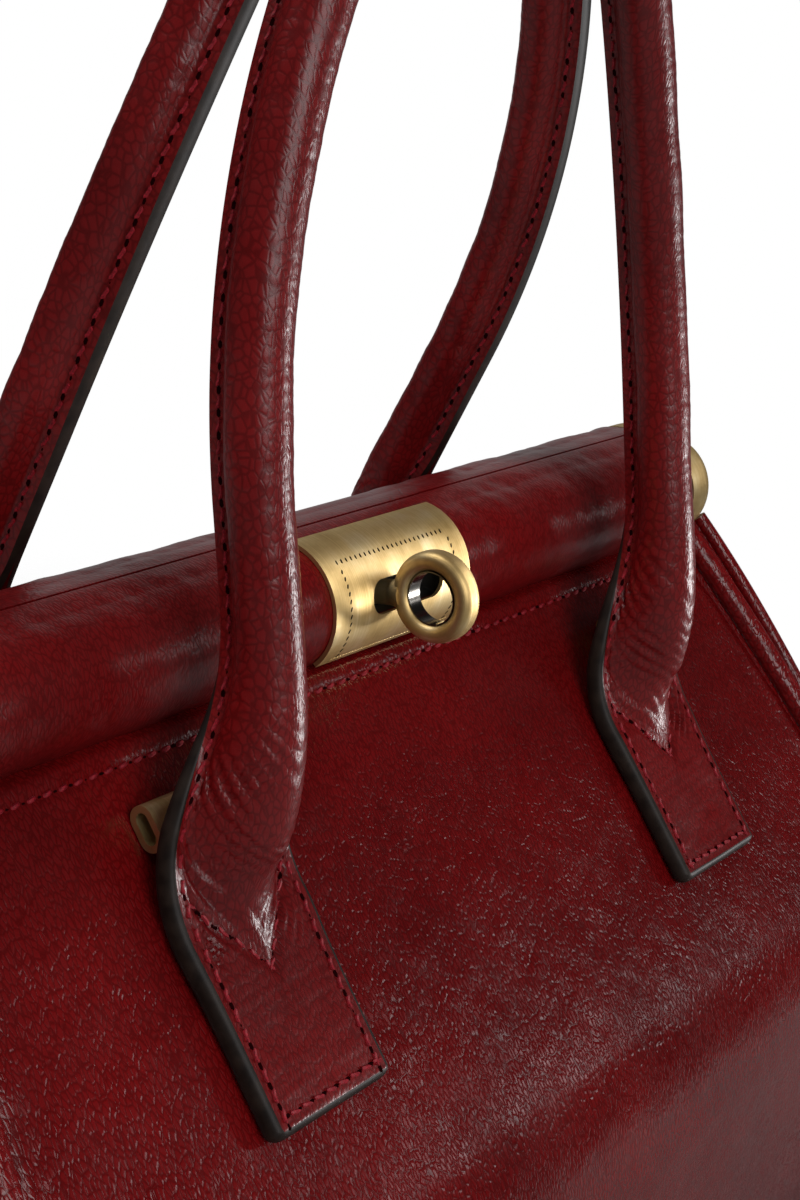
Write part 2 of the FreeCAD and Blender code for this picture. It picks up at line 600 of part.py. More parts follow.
def arc_to(start, corner, end):
    """The arc from start to end that touches both runs to their common corner."""
    chord_middle = (start + end) * 0.5
    half_chord = (end - start).Length / 2
    half_turn = math.atan((corner - chord_middle).Length / half_chord)
    sagitta = half_chord * math.tan(half_turn / 2)
    return Part.Arc(start, chord_middle + (corner - chord_middle).normalize() * sagitta, end).toShape()


def handle_path(side):
    """Upright foot, lean, leg's arc and half the top's arc, each tangent to the next, and all mirrored."""
    name = "front" if side == FRONT else "back"
    lean, sway_drop = math.radians(size(name + "_lean")), size(name + "_sway")
    up = Vector(0, -side * math.sin(lean), math.cos(lean))
    inwards = Vector(-1, 0, 0)
    foot = Vector(LEG_X, side * LEG_START[0], LEG_START[1]) - Z_AXIS * size("cord_radius")
    sway = Vector(foot.x, foot.y, size("frame_height") - sway_drop)
    sway_tangent = size("sway_radius") * math.tan(lean / 2)
    sway_start, sway_end = sway - Z_AXIS * sway_tangent, sway + up * sway_tangent
    leg_top = sway + up * ((size("leg_rise") + sway_drop) / up.z)
    crown_y = side * (size("flange_reach") + size("handle_gap") / 2) - size("crown_shift")
    crown = Vector(0, crown_y, size("frame_height") + size("arch_rise"))
    span, ratio = crown - leg_top, size("arch_ratio")
    along = ratio * span.dot(up) + span.dot(inwards)
    curve = ratio * (1 - up.dot(inwards))
    top_tangent = (math.sqrt(along ** 2 + 2 * curve * span.dot(span)) - along) / (2 * curve)
    leg_corner = leg_top + up * (ratio * top_tangent)
    top_corner = crown - inwards * top_tangent
    join = leg_corner + (top_corner - leg_corner) * (ratio / (1 + ratio))
    half = [Part.LineSegment(foot, sway_start).toShape(), arc_to(sway_start, sway, sway_end),
            Part.LineSegment(sway_end, leg_top).toShape(),
            arc_to(leg_top, leg_corner, join), arc_to(join, top_corner, crown)]
    mirrored = [edge.mirror(Vector(), X_AXIS) for edge in reversed(half)]
    return Part.Wire(Part.__sortEdges__(half + mirrored)), foot


def swept(side, section):
    """A level section carried along the handle, its flange kept inwards, and both ends cut level."""
    path, foot = handle_path(side)
    pipe = Part.BRepOffsetAPI.MakePipeShell(path)
    pipe.setBiNormalMode(Y_AXIS)
    pipe.add(section(foot))
    pipe.build()
    pipe.makeSolid()
    return pipe.shape().cut(box((-WIDE, -WIDE, 0), (WIDE, WIDE, LEG_START[1] + size("soft_gap"))))


def roll_section(foot, side):
    """The handle's section: a circle with a flat flange on its inner side."""
    inner = Y_AXIS * -side
    half = size("flange_thick") / 2
    root = math.sqrt(size("cord_radius") ** 2 - half ** 2)

    def at(x, off):
        return foot + X_AXIS * x + inner * off

    tip = size("flange_reach")
    return Part.Wire([
        Part.Arc(at(half, root), at(0, -size("cord_radius")), at(-half, root)).toShape(),
        Part.LineSegment(at(-half, root), at(-half, tip)).toShape(),
        Part.LineSegment(at(-half, tip), at(half, tip)).toShape(),
        Part.LineSegment(at(half, tip), at(half, root)).toShape()])


def rope(side, radius):
    return swept(side, lambda foot: Part.Wire(Part.makeCircle(radius, foot, Z_AXIS)))


for side, name in ((FRONT, "front"), (BACK, "back")):
    roll = swept(side, lambda foot: roll_section(foot, side))
    solid(name + "_handle_cover", roll.cut(rope(side, size("core_radius") + size("sewn_gap"))))
    solid(name + "_handle_core", rope(side, size("core_radius")))


def tab(side, end):
    """The flat tab on the roof, with the rolled neck that bends up into the handle's leg."""
    half, corner = size("tab_width") / 2, size("tab_corner")
    neck_half = size("cord_radius") + size("neck_edge")
    start, shoulder, low = size("tab_start"), size("tab_shoulder"), size("tab_end")
    slant = corner * (1 - math.sin(HALF_QUARTER))

    def on_tab(x, down):
        y, z = on_roof(down, size("soft_gap"))
        return Vector(end * LEG_X + x, side * y, z)

    outline = face(on_tab, (-neck_half, start), (neck_half, start), (half, shoulder), (half, low - corner),
                   ((half - slant, low - slant), (half - corner, low)), (-half + corner, low),
                   ((-half + slant, low - slant), (-half, low - corner)), (-half, shoulder))
    view = side_view(side)
    flat = outline.extrude(view(*OFF_ROOF) * size("tab_thick"))
    along = X_AXIS * (end * LEG_X)
    bend_low = (ELBOW[0] + BEND_TANGENT * DOWN_ROOF[0], ELBOW[1] + BEND_TANGENT * DOWN_ROOF[1])
    down_roof, off_roof = view(*DOWN_ROOF), view(*OFF_ROOF)
    bend_start = view(*bend_low) + along
    centre = bend_start + off_roof * size("elbow_radius")
    disc = Part.Face(Part.Wire(Part.makeCircle(size("cord_radius"), bend_start, down_roof)))
    bend = disc.revolve(centre, X_AXIS * side, -size("roof_angle"))
    run = (size("neck_end") - size("elbow_down") - BEND_TANGENT) / 2
    neck_low = bend_start + down_roof * run
    neck = cylinder(size("cord_radius"), bend_start, neck_low)
    tip = view(*on_roof(size("neck_end"), size("soft_gap") + size("tab_thick"))) + along
    fade = tip - neck_low
    taper = Part.makeCone(size("cord_radius"), size("neck_tip"), fade.Length, neck_low, fade)
    return flat.fuse([bend, neck, taper])


def keeper(end):
    """A strap keeper: a brass strip bent into a rounded loop, flat side out, beside the handle's neck."""
    wall, low = size("keeper_wall"), size("soft_gap")
    high, deep, down = size("keeper_height"), size("keeper_depth"), size("keeper_down")

    def loop(inset):
        radius = deep / 2 - inset
        upper, lower, middle = down + deep / 2, down + high - deep / 2, low + deep / 2
        view = side_view(FRONT)
        return face(lambda a, b: view(*on_roof(a, b)), (upper, middle - radius), (lower, middle - radius),
                    ((lower + radius, middle), (lower, middle + radius)), (upper, middle + radius),
                    ((upper - radius, middle), (upper, middle - radius)))

    inner = LEG_X + size("keeper_offset")
    low_x, high_x = sorted((end * inner, end * (inner + size("keeper_length"))))
    return across(loop(0), low_x, high_x).cut(across(loop(wall), low_x, high_x))


for side, side_name in ((FRONT, "front"), (BACK, "back")):
    for end, end_name in ((LEFT, "left"), (RIGHT, "right")):
        solid(f"{side_name}_{end_name}_handle_tab", tab(side, end))
for end, end_name in ((LEFT, "left"), (RIGHT, "right")):
    solid(end_name + "_strap_keeper", keeper(end))

doc.recompute()
for item in doc.Objects:
    if "Invalid" in item.State or "Error" in item.State:
        raise RuntimeError(f"{item.Label} failed: {item.State}")
for item in sub_parts:
    if item.Shape.isNull() or not item.Shape.isValid():
        raise RuntimeError(f"{item.Label} has no valid shape")
os.makedirs("parts", exist_ok=True)
for item in sub_parts:
    item.Shape.exportStep(f"parts/{item.Label}.step")
    print(f"{item.Label}: {len(item.Shape.Solids)} solids, {item.Shape.Volume / 1000:.2f} cm3")
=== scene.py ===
import json
import math

import bmesh
import bpy
import numpy as np
from mathutils import Matrix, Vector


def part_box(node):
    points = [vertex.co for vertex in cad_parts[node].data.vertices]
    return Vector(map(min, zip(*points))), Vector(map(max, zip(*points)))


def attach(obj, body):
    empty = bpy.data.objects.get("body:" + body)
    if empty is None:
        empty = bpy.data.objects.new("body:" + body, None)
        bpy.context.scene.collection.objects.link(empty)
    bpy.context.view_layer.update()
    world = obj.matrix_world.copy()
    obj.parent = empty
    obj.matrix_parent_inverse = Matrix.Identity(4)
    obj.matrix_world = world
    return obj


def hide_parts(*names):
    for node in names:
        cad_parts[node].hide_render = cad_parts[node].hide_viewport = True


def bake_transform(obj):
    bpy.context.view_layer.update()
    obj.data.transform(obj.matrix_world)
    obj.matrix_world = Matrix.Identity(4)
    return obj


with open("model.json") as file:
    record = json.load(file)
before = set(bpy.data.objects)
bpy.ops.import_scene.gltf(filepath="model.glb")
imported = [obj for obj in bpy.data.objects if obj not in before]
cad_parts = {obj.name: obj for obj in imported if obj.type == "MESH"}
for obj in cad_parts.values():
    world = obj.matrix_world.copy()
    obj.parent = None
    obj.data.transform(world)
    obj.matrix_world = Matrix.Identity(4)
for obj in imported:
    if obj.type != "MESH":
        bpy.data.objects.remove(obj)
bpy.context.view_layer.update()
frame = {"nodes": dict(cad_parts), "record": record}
nodes = frame["nodes"]

# Base. A leather-covered bottom with soft rounded edges, glued over a pressed fibre board.
# The leather is drum-dyed burgundy with a milled grain: fine creases round small pebbles,
# and a semi-gloss finish that breaks up into sparkles where light strikes it.
MM = 0.001
# The crease colour darkens the grain's creases in the leather's own colour: painted shade.
LEATHER_DEEP, LEATHER_FULL, LEATHER_CREASE_SHADE = "#560709", "#690a0c", "#d2c4c4"
GRAIN_WIDTH, GRAIN_DEPTH, GRAIN_PULL, TONE_WIDTH, SHEEN_WIDTH = 0.8, 0.09, 0.42, 34, 9
LEATHER_GLOSS, LEATHER_ROUGH, ROUGH_SPREAD = 0.3, 0.19, 0.07
# The base's colours are the panels' leather made darker: painted shade under the bag.
BASE_SHADE_DEEP, BASE_SHADE_FULL = "#4c0709", "#5e090b"
BASE_EDGE, BASE_CORNER = 1.4, 4.0


def linear(code):
    """An sRGB hex colour as linear light: a straight toe, then a power of 2.4."""
    parts = [int(code[at:at + 2], 16) / 255 for at in (1, 3, 5)]
    return [c / 12.92 if c <= 0.04045 else ((c + 0.055) / 1.055) ** 2.4 for c in parts] + [1.0]


def per(millimetres):
    """The texture scale at which one cell of a pattern is that wide."""
    return 1 / (millimetres * MM)


def join(tree, node, inputs):
    """Gives each of a node's inputs a constant value, or a link from a socket or a node's first output."""
    for name, value in inputs.items():
        source = value.outputs[0] if isinstance(value, bpy.types.Node) else value
        if isinstance(source, bpy.types.NodeSocket):
            tree.links.new(source, node.inputs[name])
        else:
            node.inputs[name].default_value = source


def add(tree, kind, inputs=None, stops=(), **settings):
    """Adds a shader node, sets its properties and its inputs, and gives a colour ramp its stops, each a place
    from 0 to 1 and a hex colour."""
    node = tree.nodes.new("ShaderNode" + kind)
    for name, value in settings.items():
        setattr(node, name, value)
    join(tree, node, inputs or {})
    for number, (place, code) in enumerate(stops):
        points = node.color_ramp.elements
        point = points[number] if number < len(points) else points.new(place)
        point.position, point.color = place, linear(code)
    return node


def start_material(name, **constants):
    """An empty material: its tree, its shader with constant values set, and its coordinates in metres."""
    material = bpy.data.materials.new(name)
    material.use_nodes = True
    tree = material.node_tree
    tree.nodes.clear()
    shader = add(tree, "BsdfPrincipled", {key.replace("_", " "): value for key, value in constants.items()})
    add(tree, "OutputMaterial", {"Surface": shader})
    place = add(tree, "TexCoord").outputs["Object"]
    return material, tree, shader, place


def milled_leather(name, deep, full, relief=1.0, rough=LEATHER_ROUGH):
    """Milled leather: cells with creases between them for the grain, drawn out down the bag and bent by
    noise, with painted shade that darkens the creases, broad noise for the dye, and a slow change of
    roughness for a wavy sheen."""
    material, tree, shader, place = start_material(name, Specular_IOR_Level=LEATHER_GLOSS)
    drawn = add(tree, "Mapping", {"Vector": place, "Scale": (1, GRAIN_PULL, GRAIN_PULL)})
    bent = add(tree, "TexNoise", {"Vector": drawn, "Scale": per(2.6 * GRAIN_WIDTH), "Detail": 2.0})
    pushed = add(tree, "VectorMath", {0: bent.outputs["Color"], 1: (0.5 * GRAIN_WIDTH * MM,) * 3},
                 operation="MULTIPLY")
    wobble = add(tree, "VectorMath", {0: drawn, 1: pushed}, operation="ADD")
    cells = add(tree, "TexVoronoi", {"Vector": wobble, "Scale": per(GRAIN_WIDTH)}, feature="DISTANCE_TO_EDGE")
    pebble = add(tree, "MapRange", {"Value": cells.outputs["Distance"], "From Max": 0.26},
                 interpolation_type="SMOOTHSTEP")
    fine = add(tree, "TexNoise", {"Vector": drawn, "Scale": per(0.45 * GRAIN_WIDTH), "Detail": 3.0})
    height = add(tree, "Math", {0: fine, 1: 0.55, 2: pebble}, operation="MULTIPLY_ADD")
    bump = add(tree, "Bump", {"Height": height, "Strength": 0.5, "Distance": GRAIN_DEPTH * relief * MM})
    tone = add(tree, "TexNoise", {"Vector": place, "Scale": per(TONE_WIDTH), "Detail": 4.0})
    dye = add(tree, "ValToRGB", {"Fac": tone}, ((0.32, deep), (0.68, full)))
    # Painted shade: the creases between the pebbles are darkened in the colour.
    crease = add(tree, "ValToRGB", {"Fac": pebble}, ((0.0, LEATHER_CREASE_SHADE), (0.7, "#ffffff")))
    colour = add(tree, "MixRGB", {"Fac": 1.0, "Color1": dye, "Color2": crease}, blend_type="MULTIPLY")
    sheen = add(tree, "TexNoise", {"Vector": place, "Scale": per(SHEEN_WIDTH), "Detail": 2.0})
    polish = add(tree, "MapRange", {"Value": sheen, "From Min": 0.3, "From Max": 0.7,
                                    "To Min": rough, "To Max": rough + ROUGH_SPREAD})
    join(tree, shader, {"Base Color": colour, "Roughness": polish, "Normal": bump})
    return material


def grid_faces(rows, columns, loop=False):
    """The quads of a grid by their corners' numbers; loop joins each row's last column to its first."""
    row = np.arange(rows - 1)[:, None] * columns
    column = np.arange(columns if loop else columns - 1)[None, :]
    after = (column + 1) % columns
    corners = [row + column, row + after, row + columns + after, row + columns + column]
    return np.stack(corners, -1).reshape(-1, 4)


def piece(name, points, faces, *materials, marks=None, crisp=50):
    """A finished piece from points in millimetres and faces; doubles are welded and faces turned outwards.
    marks gives each face its material, and edges sharper than crisp degrees stay sharp."""
    mesh = bpy.data.meshes.new(name)
    mesh.from_pydata((np.asarray(points).reshape(-1, 3) * MM).tolist(), [], [list(face) for face in faces])
    for material in materials:
        mesh.materials.append(material)
    if marks is not None:
        mesh.polygons.foreach_set("material_index", np.asarray(marks, np.int32))
    work = bmesh.new()
    work.from_mesh(mesh)
    bmesh.ops.remove_doubles(work, verts=work.verts, dist=0.002 * MM)
    bmesh.ops.recalc_face_normals(work, faces=work.faces)
    work.to_mesh(mesh)
    work.free()
    mesh.polygons.foreach_set("use_smooth", np.ones(len(mesh.polygons), bool))
    mesh.set_sharp_from_angle(angle=math.radians(crisp))
    made = bpy.data.objects.new(name, mesh)
    bpy.context.scene.collection.objects.link(made)
    return made


def rounded_plate(low, high, edge, corner):
    """A plate with rounded corners and a half-round rim: the corners' arcs, drawn in by the rim's half
    circle, and closed below and above by the same ring at half its reach and at the middle."""
    turn = np.linspace(0, 2 * np.pi, 96, endpoint=False)
    rim = np.linspace(-np.pi / 2, np.pi / 2, 9)[:, None]
    centre, half = (low + high) / 2, (high - low) / 2
    arc = corner - edge * (1 - np.cos(rim))
    x = np.sign(np.cos(turn)) * (half[0] - corner) + arc * np.cos(turn)
    y = np.sign(np.sin(turn)) * (half[1] - corner) + arc * np.sin(turn)
    wall = np.stack([x, y, half[2] * np.sin(rim) + 0 * turn], -1)
    below, above = ([wall[at] * (reach, reach, 1) for reach in (0, 0.5)] for at in (0, -1))
    return centre + np.stack([*below, *wall, *above[::-1]])


burgundy = milled_leather("milled_burgundy_leather", LEATHER_DEEP, LEATHER_FULL)
# Painted shade: the base gets a darker copy of the panels' leather.
shaded_base_leather = milled_leather("base_burgundy_leather_painted_shade", BASE_SHADE_DEEP, BASE_SHADE_FULL)
base_low, base_high = (np.array(corner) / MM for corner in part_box("base_panel"))
HALF_LENGTH, HALF_DEPTH, BASE_TOP = base_high
plate = rounded_plate(base_low, base_high, BASE_EDGE, BASE_CORNER)
base = piece("bag_base", plate, grid_faces(*plate.shape[:2], loop=True), shaded_base_leather)
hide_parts("base_panel")
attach(base, "bag_body")

# Stiffener board. Pressed brown fibre board that lies on the base inside the bag.
# Short pale fibres show in a dull, slightly mottled surface.
FIBRE_LENGTH, FIBRE_DARK, FIBRE_PALE = 1.5, "#6d5a45", "#8f7a60"


def mottled(name, width, detail, *stops, **constants):
    """A mottled material: noise of one width in millimetres, whose value runs through the stops' colours.
    Gives its tree, its shader and the noise too, for relief or roughness."""
    material, tree, shader, place = start_material(name, **constants)
    noise = add(tree, "TexNoise", {"Vector": place, "Scale": per(width), "Detail": detail})
    join(tree, shader, {"Base Color": add(tree, "ValToRGB", {"Fac": noise}, stops)})
    return material, tree, shader, noise


fibre_board = mottled("pressed_fibre_board", FIBRE_LENGTH, 6.0, (0.35, FIBRE_DARK), (0.65, FIBRE_PALE),
                      Roughness=0.9)[0]
nodes["base_board"].data.materials[0] = fibre_board

# Brass fittings. Zinc castings plated in antique brass: brushed, lacquered, with brown left in low places.
# Fine scratches round the roll spread the highlights along the bag.
BRASS_DARK, BRASS_MID, BRASS_PALE, BRASS_ROUGH = "#a78b57", "#cdb079", "#e6d1a3", 0.5
BRUSH_LENGTH, BRUSH_WIDTH, BRUSH_DEPTH, PATINA_WIDTH = 14, 0.22, 0.05, 7
CAPS = ("front_left_end_cap", "front_right_end_cap", "back_left_end_cap", "back_right_end_cap")
BRASS_PIECES = (*CAPS, "base_feet", "left_strap_keeper", "right_strap_keeper", "lock_plate", "lock_ring")


def antique_brass(name, dark, mid, pale, rough):
    """Brushed antique brass: noise drawn out round the roll for the brush and slow noise for the patina,
    whose sum sets the colour and, the other way, the roughness."""
    material, tree, shader, place = start_material(name, Metallic=1.0)
    pull = BRUSH_WIDTH / BRUSH_LENGTH
    stretched = add(tree, "Mapping", {"Vector": place, "Scale": (1, pull, pull)})
    brush = add(tree, "TexNoise", {"Vector": stretched, "Scale": per(BRUSH_WIDTH), "Detail": 3.0})
    stain = add(tree, "TexNoise", {"Vector": place, "Scale": per(PATINA_WIDTH), "Detail": 5.0})
    mixed = add(tree, "Math", {0: brush, 1: 0.45, 2: stain}, operation="MULTIPLY_ADD")
    colour = add(tree, "ValToRGB", {"Fac": mixed}, ((0.45, dark), (0.72, mid), (1.0, pale)))
    worn = add(tree, "MapRange", {"Value": mixed, "From Min": 0.4, "From Max": 1.0,
                                  "To Min": rough + 0.08, "To Max": rough - 0.06})
    bump = add(tree, "Bump", {"Height": brush, "Strength": 0.12, "Distance": BRUSH_DEPTH * MM})
    join(tree, shader, {"Base Color": colour, "Roughness": worn, "Normal": bump})
    return material


brass = antique_brass("brushed_antique_brass", BRASS_DARK, BRASS_MID, BRASS_PALE, BRASS_ROUGH)
for name in BRASS_PIECES:
    nodes[name].data.materials[0] = brass

# Frame and hinges. Bent aluminium alloy bars with steel pins and plates, all hidden in the leather.
# Mill-finished alloy and zinc-plated steel: grey, faintly streaked, half dull.
STREAK_WIDTH = 2.5
BARS = ("front_frame", "back_frame")
STEEL_PIECES = ("left_hinge_plate", "right_hinge_plate", "hinge_pins", "lock_bolt", "lock_catch")
for finish, dark, pale, rough, users in (("mill_finished_aluminium", "#8d8f92", "#b4b6b8", 0.42, BARS),
                                         ("zinc_plated_steel", "#77797c", "#a5a7aa", 0.34, STEEL_PIECES)):
    metal, tree, shader, streaks = mottled(finish, STREAK_WIDTH, 4.0, (0.35, dark), (0.65, pale),
                                           Metallic=1.0)
    spread = add(tree, "MapRange", {"Value": streaks, "To Min": rough - 0.06, "To Max": rough + 0.08})
    join(tree, shader, {"Roughness": spread})
    for name in users:
        nodes[name].data.materials[0] = metal

# Front and back panels. One sheet of leather each, from a seam under the roll down the sloping roof, round
# the shoulder and down to the base, sewn to the roll by one row of stitches.
ROOF = math.radians(44)
ROOF_LENGTH, SHOULDER_RADIUS, WALL = 84, 40, 2.0
TOP_LEAN, EDGE_IN, EDGE_IN_TOP, EDGE_FADE = 18, 3.0, 0.5, 62
TUCK, TUCK_DEEP, STITCH_DOWN, STITCH_PITCH = 2.5, 1.6, 3.3, 3.4
CHANNEL_DEEP, CHANNEL_WIDE = 0.3, 0.8
WELT_HIGH, WELT_IN, WELT_WIDE = 0.5, 4, 1.6
EDGE_DROP, EDGE_ROUND, WALL_SWELL = 0.9, 2.5, 2.0
SEAM_Y = HALF_DEPTH - ROOF_LENGTH * math.sin(ROOF) - SHOULDER_RADIUS * (1 - math.cos(ROOF))
SEAM_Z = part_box("front_panel")[1].z / MM
WALL_LENGTH = (ROOF_LENGTH + SHOULDER_RADIUS * ROOF + SEAM_Z - ROOF_LENGTH * math.cos(ROOF)
               - SHOULDER_RADIUS * math.sin(ROOF) - BASE_TOP)
HINGE_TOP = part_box("left_hinge_plate")[1].z / MM


def ease(value, low, high):
    """A smooth step from 0 at low to 1 at high."""
    t = np.clip((value - low) / (high - low), 0, 1)
    return t * t * (3 - 2 * t)


def waves(u, v, width, count, seed):
    """A sum of sine waves of about that width, with seeded directions, lengths and phases, over the root of
    their count."""
    draw = np.random.default_rng(seed)
    total = np.zeros(np.broadcast(u, v).shape)
    for turn, scale, phase in draw.uniform((0, 0.7, 0), (np.pi, 1.5, 2 * np.pi), (count, 3)):
        total += np.sin(2 * np.pi * (u * np.cos(turn) + v * np.sin(turn)) / (width * scale) + phase)
    return total / math.sqrt(count)


def wall_line(down, off):
    """The leather's line in the side view at a length down from the seam and a distance off the leather:
    straight down the roof, round the shoulder's arc, then straight down. Gives y outwards and z."""
    roof = np.minimum(down, ROOF_LENGTH)
    slope = ROOF - np.clip((down - ROOF_LENGTH) / SHOULDER_RADIUS, 0, ROOF)
    drop = np.maximum(down - ROOF_LENGTH - SHOULDER_RADIUS * ROOF, 0)
    y = SEAM_Y + roof * math.sin(ROOF) + SHOULDER_RADIUS * (np.cos(slope) - math.cos(ROOF))
    z = SEAM_Z - roof * math.cos(ROOF) - SHOULDER_RADIUS * (math.sin(ROOF) - np.sin(slope)) - drop
    return y + off * np.cos(slope), z + off * np.sin(slope)


def half_length(z):
    """Half the bag's length at a height: full to the hinge plate's top, then in along one arc to the seam."""
    rise = SEAM_Z - HINGE_TOP
    radius = (TOP_LEAN ** 2 + rise ** 2) / (2 * TOP_LEAN)
    return HALF_LENGTH - radius + np.sqrt(radius ** 2 - np.clip(z - HINGE_TOP, 0, rise + TUCK) ** 2)


def panel_half(down):
    """Half the panel's width at a length down from the seam: the bag's half length less the piping's room,
    which widens towards the seam."""
    return half_length(wall_line(down, 0)[1]) - EDGE_IN - EDGE_IN_TOP * (1 - ease(down, 0, EDGE_FADE))


def panel_off(x, down, half):
    """How far the panel's outer face lies off its line: tucked in under the roll, dipped along the stitches,
    raised by the seam's turning near both sides, rounded off at the edge, swelling a little on the wall."""
    from_edge = half - np.abs(x)
    into_edge = np.clip(from_edge / EDGE_ROUND, 0, 1)
    tuck = -TUCK_DEEP * (1 - ease(down, -TUCK, 0.8))
    channel = -CHANNEL_DEEP * np.exp(-((down - STITCH_DOWN) / CHANNEL_WIDE) ** 2)
    welt = WELT_HIGH * np.exp(-((from_edge - WELT_IN) / WELT_WIDE) ** 2) * ease(down, 4, 14)
    edge = -EDGE_DROP * (1 - np.sqrt(into_edge * (2 - into_edge)))
    swell = WALL_SWELL * (1 - (x / half) ** 2) * ease(down, 88, 130) * (1 - ease(down, 150, WALL_LENGTH))
    hand = 0.1 * waves(x, down, 26, 9, 4) * ease(down, 2, 12) + 0.05 * waves(x, down, 7, 9, 5)
    return tuck + channel + welt + edge + swell + hand


def panel_points(side, across, down, lift):
    """Points of a panel: across runs from -1 to 1 between the pipings and down from the seam to the base."""
    half = panel_half(down)
    x = across * half
    y, z = wall_line(down, lift(x, down, half))
    return np.stack([x + 0 * y, side * y, z], -1)


def shell(outer, inner):
    """Points and faces of a closed sheet: an outer grid, an inner one, and a rim that joins their borders."""
    rows, columns = outer.shape[:2]
    points = np.concatenate([outer, inner[:, ::-1]], 1)
    ring = 2 * columns
    column = np.arange(columns - 1)
    ends = [np.stack([at + column, at + column + 1, at + ring - 2 - column, at + ring - 1 - column], -1)
            for at in (0, (rows - 1) * ring)]
    return points, np.concatenate([grid_faces(rows, ring, loop=True), *ends])


sides = (("front", -1), ("back", 1))
panels = {}
for name, side in sides:
    even = np.linspace(-1, 1, 190)[None, :]
    across = 0.65 * even + 0.35 * np.sin(even * np.pi / 2)
    down = np.concatenate([np.linspace(-TUCK, 8, 22)[:-1], np.linspace(8, WALL_LENGTH, 130)])[:, None]
    outer = panel_points(side, across, down, panel_off)
    inner = panel_points(side, across, down, lambda x, down, half: np.full(x.shape, -WALL))
    panels[name] = piece(name + "_leather_panel", *shell(outer, inner), burgundy)
    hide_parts(name + "_panel")
    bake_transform(panels[name])

# Stitches. Waxed polyester thread, a little brighter red than the leather, sewn at 3.4 mm.
# Each stitch is a short plump length that dives into its hole at both ends.
STITCH_LENGTH, THREAD_RADIUS, THREAD_SINK, SLANT = 2.4, 0.42, 0.5, math.radians(12)
HOLE_LONG, HOLE_WIDE, HOLE_RAISED, SEAM_END = 0.75, 0.45, 0.06, 3
# The hole colour is near black: painted shade of the needle holes.
THREAD_DARK, THREAD_BRIGHT, TWIST_WIDTH, TWIST_DEPTH, HOLE_SHADE_COLOUR = "#5c0911", "#8a1220", 0.35, 0.08, "#170304"
thread, tree, shader, twist = mottled("waxed_red_thread", TWIST_WIDTH, 2.0, (0.3, THREAD_DARK),
                                      (0.7, THREAD_BRIGHT), Roughness=0.6, Specular_IOR_Level=0.2)
bump = add(tree, "Bump", {"Height": twist, "Strength": 0.4, "Distance": TWIST_DEPTH * MM})
join(tree, shader, {"Normal": bump})
# Painted shade: each needle hole is a flat disc coloured near black, with no specular reflection.
hole_shade = start_material("needle_hole_painted_shade", Base_Color=linear(HOLE_SHADE_COLOUR), Roughness=0.9,
                             Specular_IOR_Level=0.0)[0]


def unit(vectors):
    """Vectors made one long."""
    return vectors / np.linalg.norm(vectors, axis=-1, keepdims=True)


def set_out(local, spots, ahead, beside, up):
    """Copies of one small grid of points, given along, across and up, at every spot and in its directions."""
    along, across, high = (part[None, ..., None] for part in local)
    spots, ahead, beside, up = (vectors[:, None, None] for vectors in (spots, ahead, beside, up))
    return spots + along * ahead + across * beside + high * up


def copies_faces(grids, first=0):
    """The quads of many like grids, each looped, whose points follow on one another from the number first."""
    count, rows, columns = grids.shape[:3]
    start = first + rows * columns * np.arange(count)[:, None, None]
    return (grid_faces(rows, columns, loop=True) + start).reshape(-1, 4)


def sew(name, spots, ahead, outwards):
    """A row of stitches at spots, each a tube of six sides whose ends thin out and sink: its radius follows
    the root of one minus the fourth power of the way along, and it sinks by the way's square. Between them
    lie flat discs painted near black, the painted shade of the needle holes."""
    ahead = unit(ahead)
    beside = unit(np.cross(outwards, ahead))
    up = np.cross(ahead, beside)
    along = np.linspace(-1, 1, 7)[:, None]
    turn = np.linspace(0, 2 * np.pi, 6, endpoint=False)
    radius = THREAD_RADIUS * np.sqrt(np.clip(1 - along ** 4, 0, 1))
    stitch = [along * STITCH_LENGTH / 2 + 0 * turn, radius * np.cos(turn),
              radius * np.sin(turn) + 0.4 * THREAD_RADIUS - THREAD_SINK * along ** 2]
    slanted = ahead * math.cos(SLANT) + beside * math.sin(SLANT)
    stitches = set_out(stitch, spots, slanted, np.cross(up, slanted), up)
    wide, high = np.array([0, 1, 0])[:, None], HOLE_RAISED * np.array([1, 0, -1])[:, None]
    hole = [HOLE_LONG * wide * np.cos(turn), HOLE_WIDE * wide * np.sin(turn), high + 0 * turn]
    holes = set_out(hole, spots + ahead * STITCH_PITCH / 2, ahead, beside, up)
    points = np.concatenate([stitches.reshape(-1, 3), holes.reshape(-1, 3)])
    faces = [copies_faces(stitches), copies_faces(holes, stitches.size // 3)]
    marks = np.repeat([0, 1], [len(part) for part in faces])
    made = piece(name, points, np.concatenate(faces), thread, hole_shade, marks=marks)
    return made


def face_normals(surface_at, first, second, step=0.05):
    """Spots on a surface of two parameters, with the first's direction and the normal, by small steps."""
    spot = surface_at(first, second)
    ahead = surface_at(first + step, second) - surface_at(first - step, second)
    beside = surface_at(first, second + step) - surface_at(first, second - step)
    return spot, ahead, unit(np.cross(ahead, beside))


for name, side in sides:
    seam_half = panel_half(0) - SEAM_END
    x = np.arange(-seam_half, seam_half, STITCH_PITCH)
    spot, ahead, normal = face_normals(
        lambda x, down: panel_points(side, x / panel_half(down), down, panel_off),
        x, np.full(x.shape, STITCH_DOWN))
    row = sew(name + "_seam_stitches", spot, ahead, normal * np.sign(normal[:, 2:]))
    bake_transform(row)

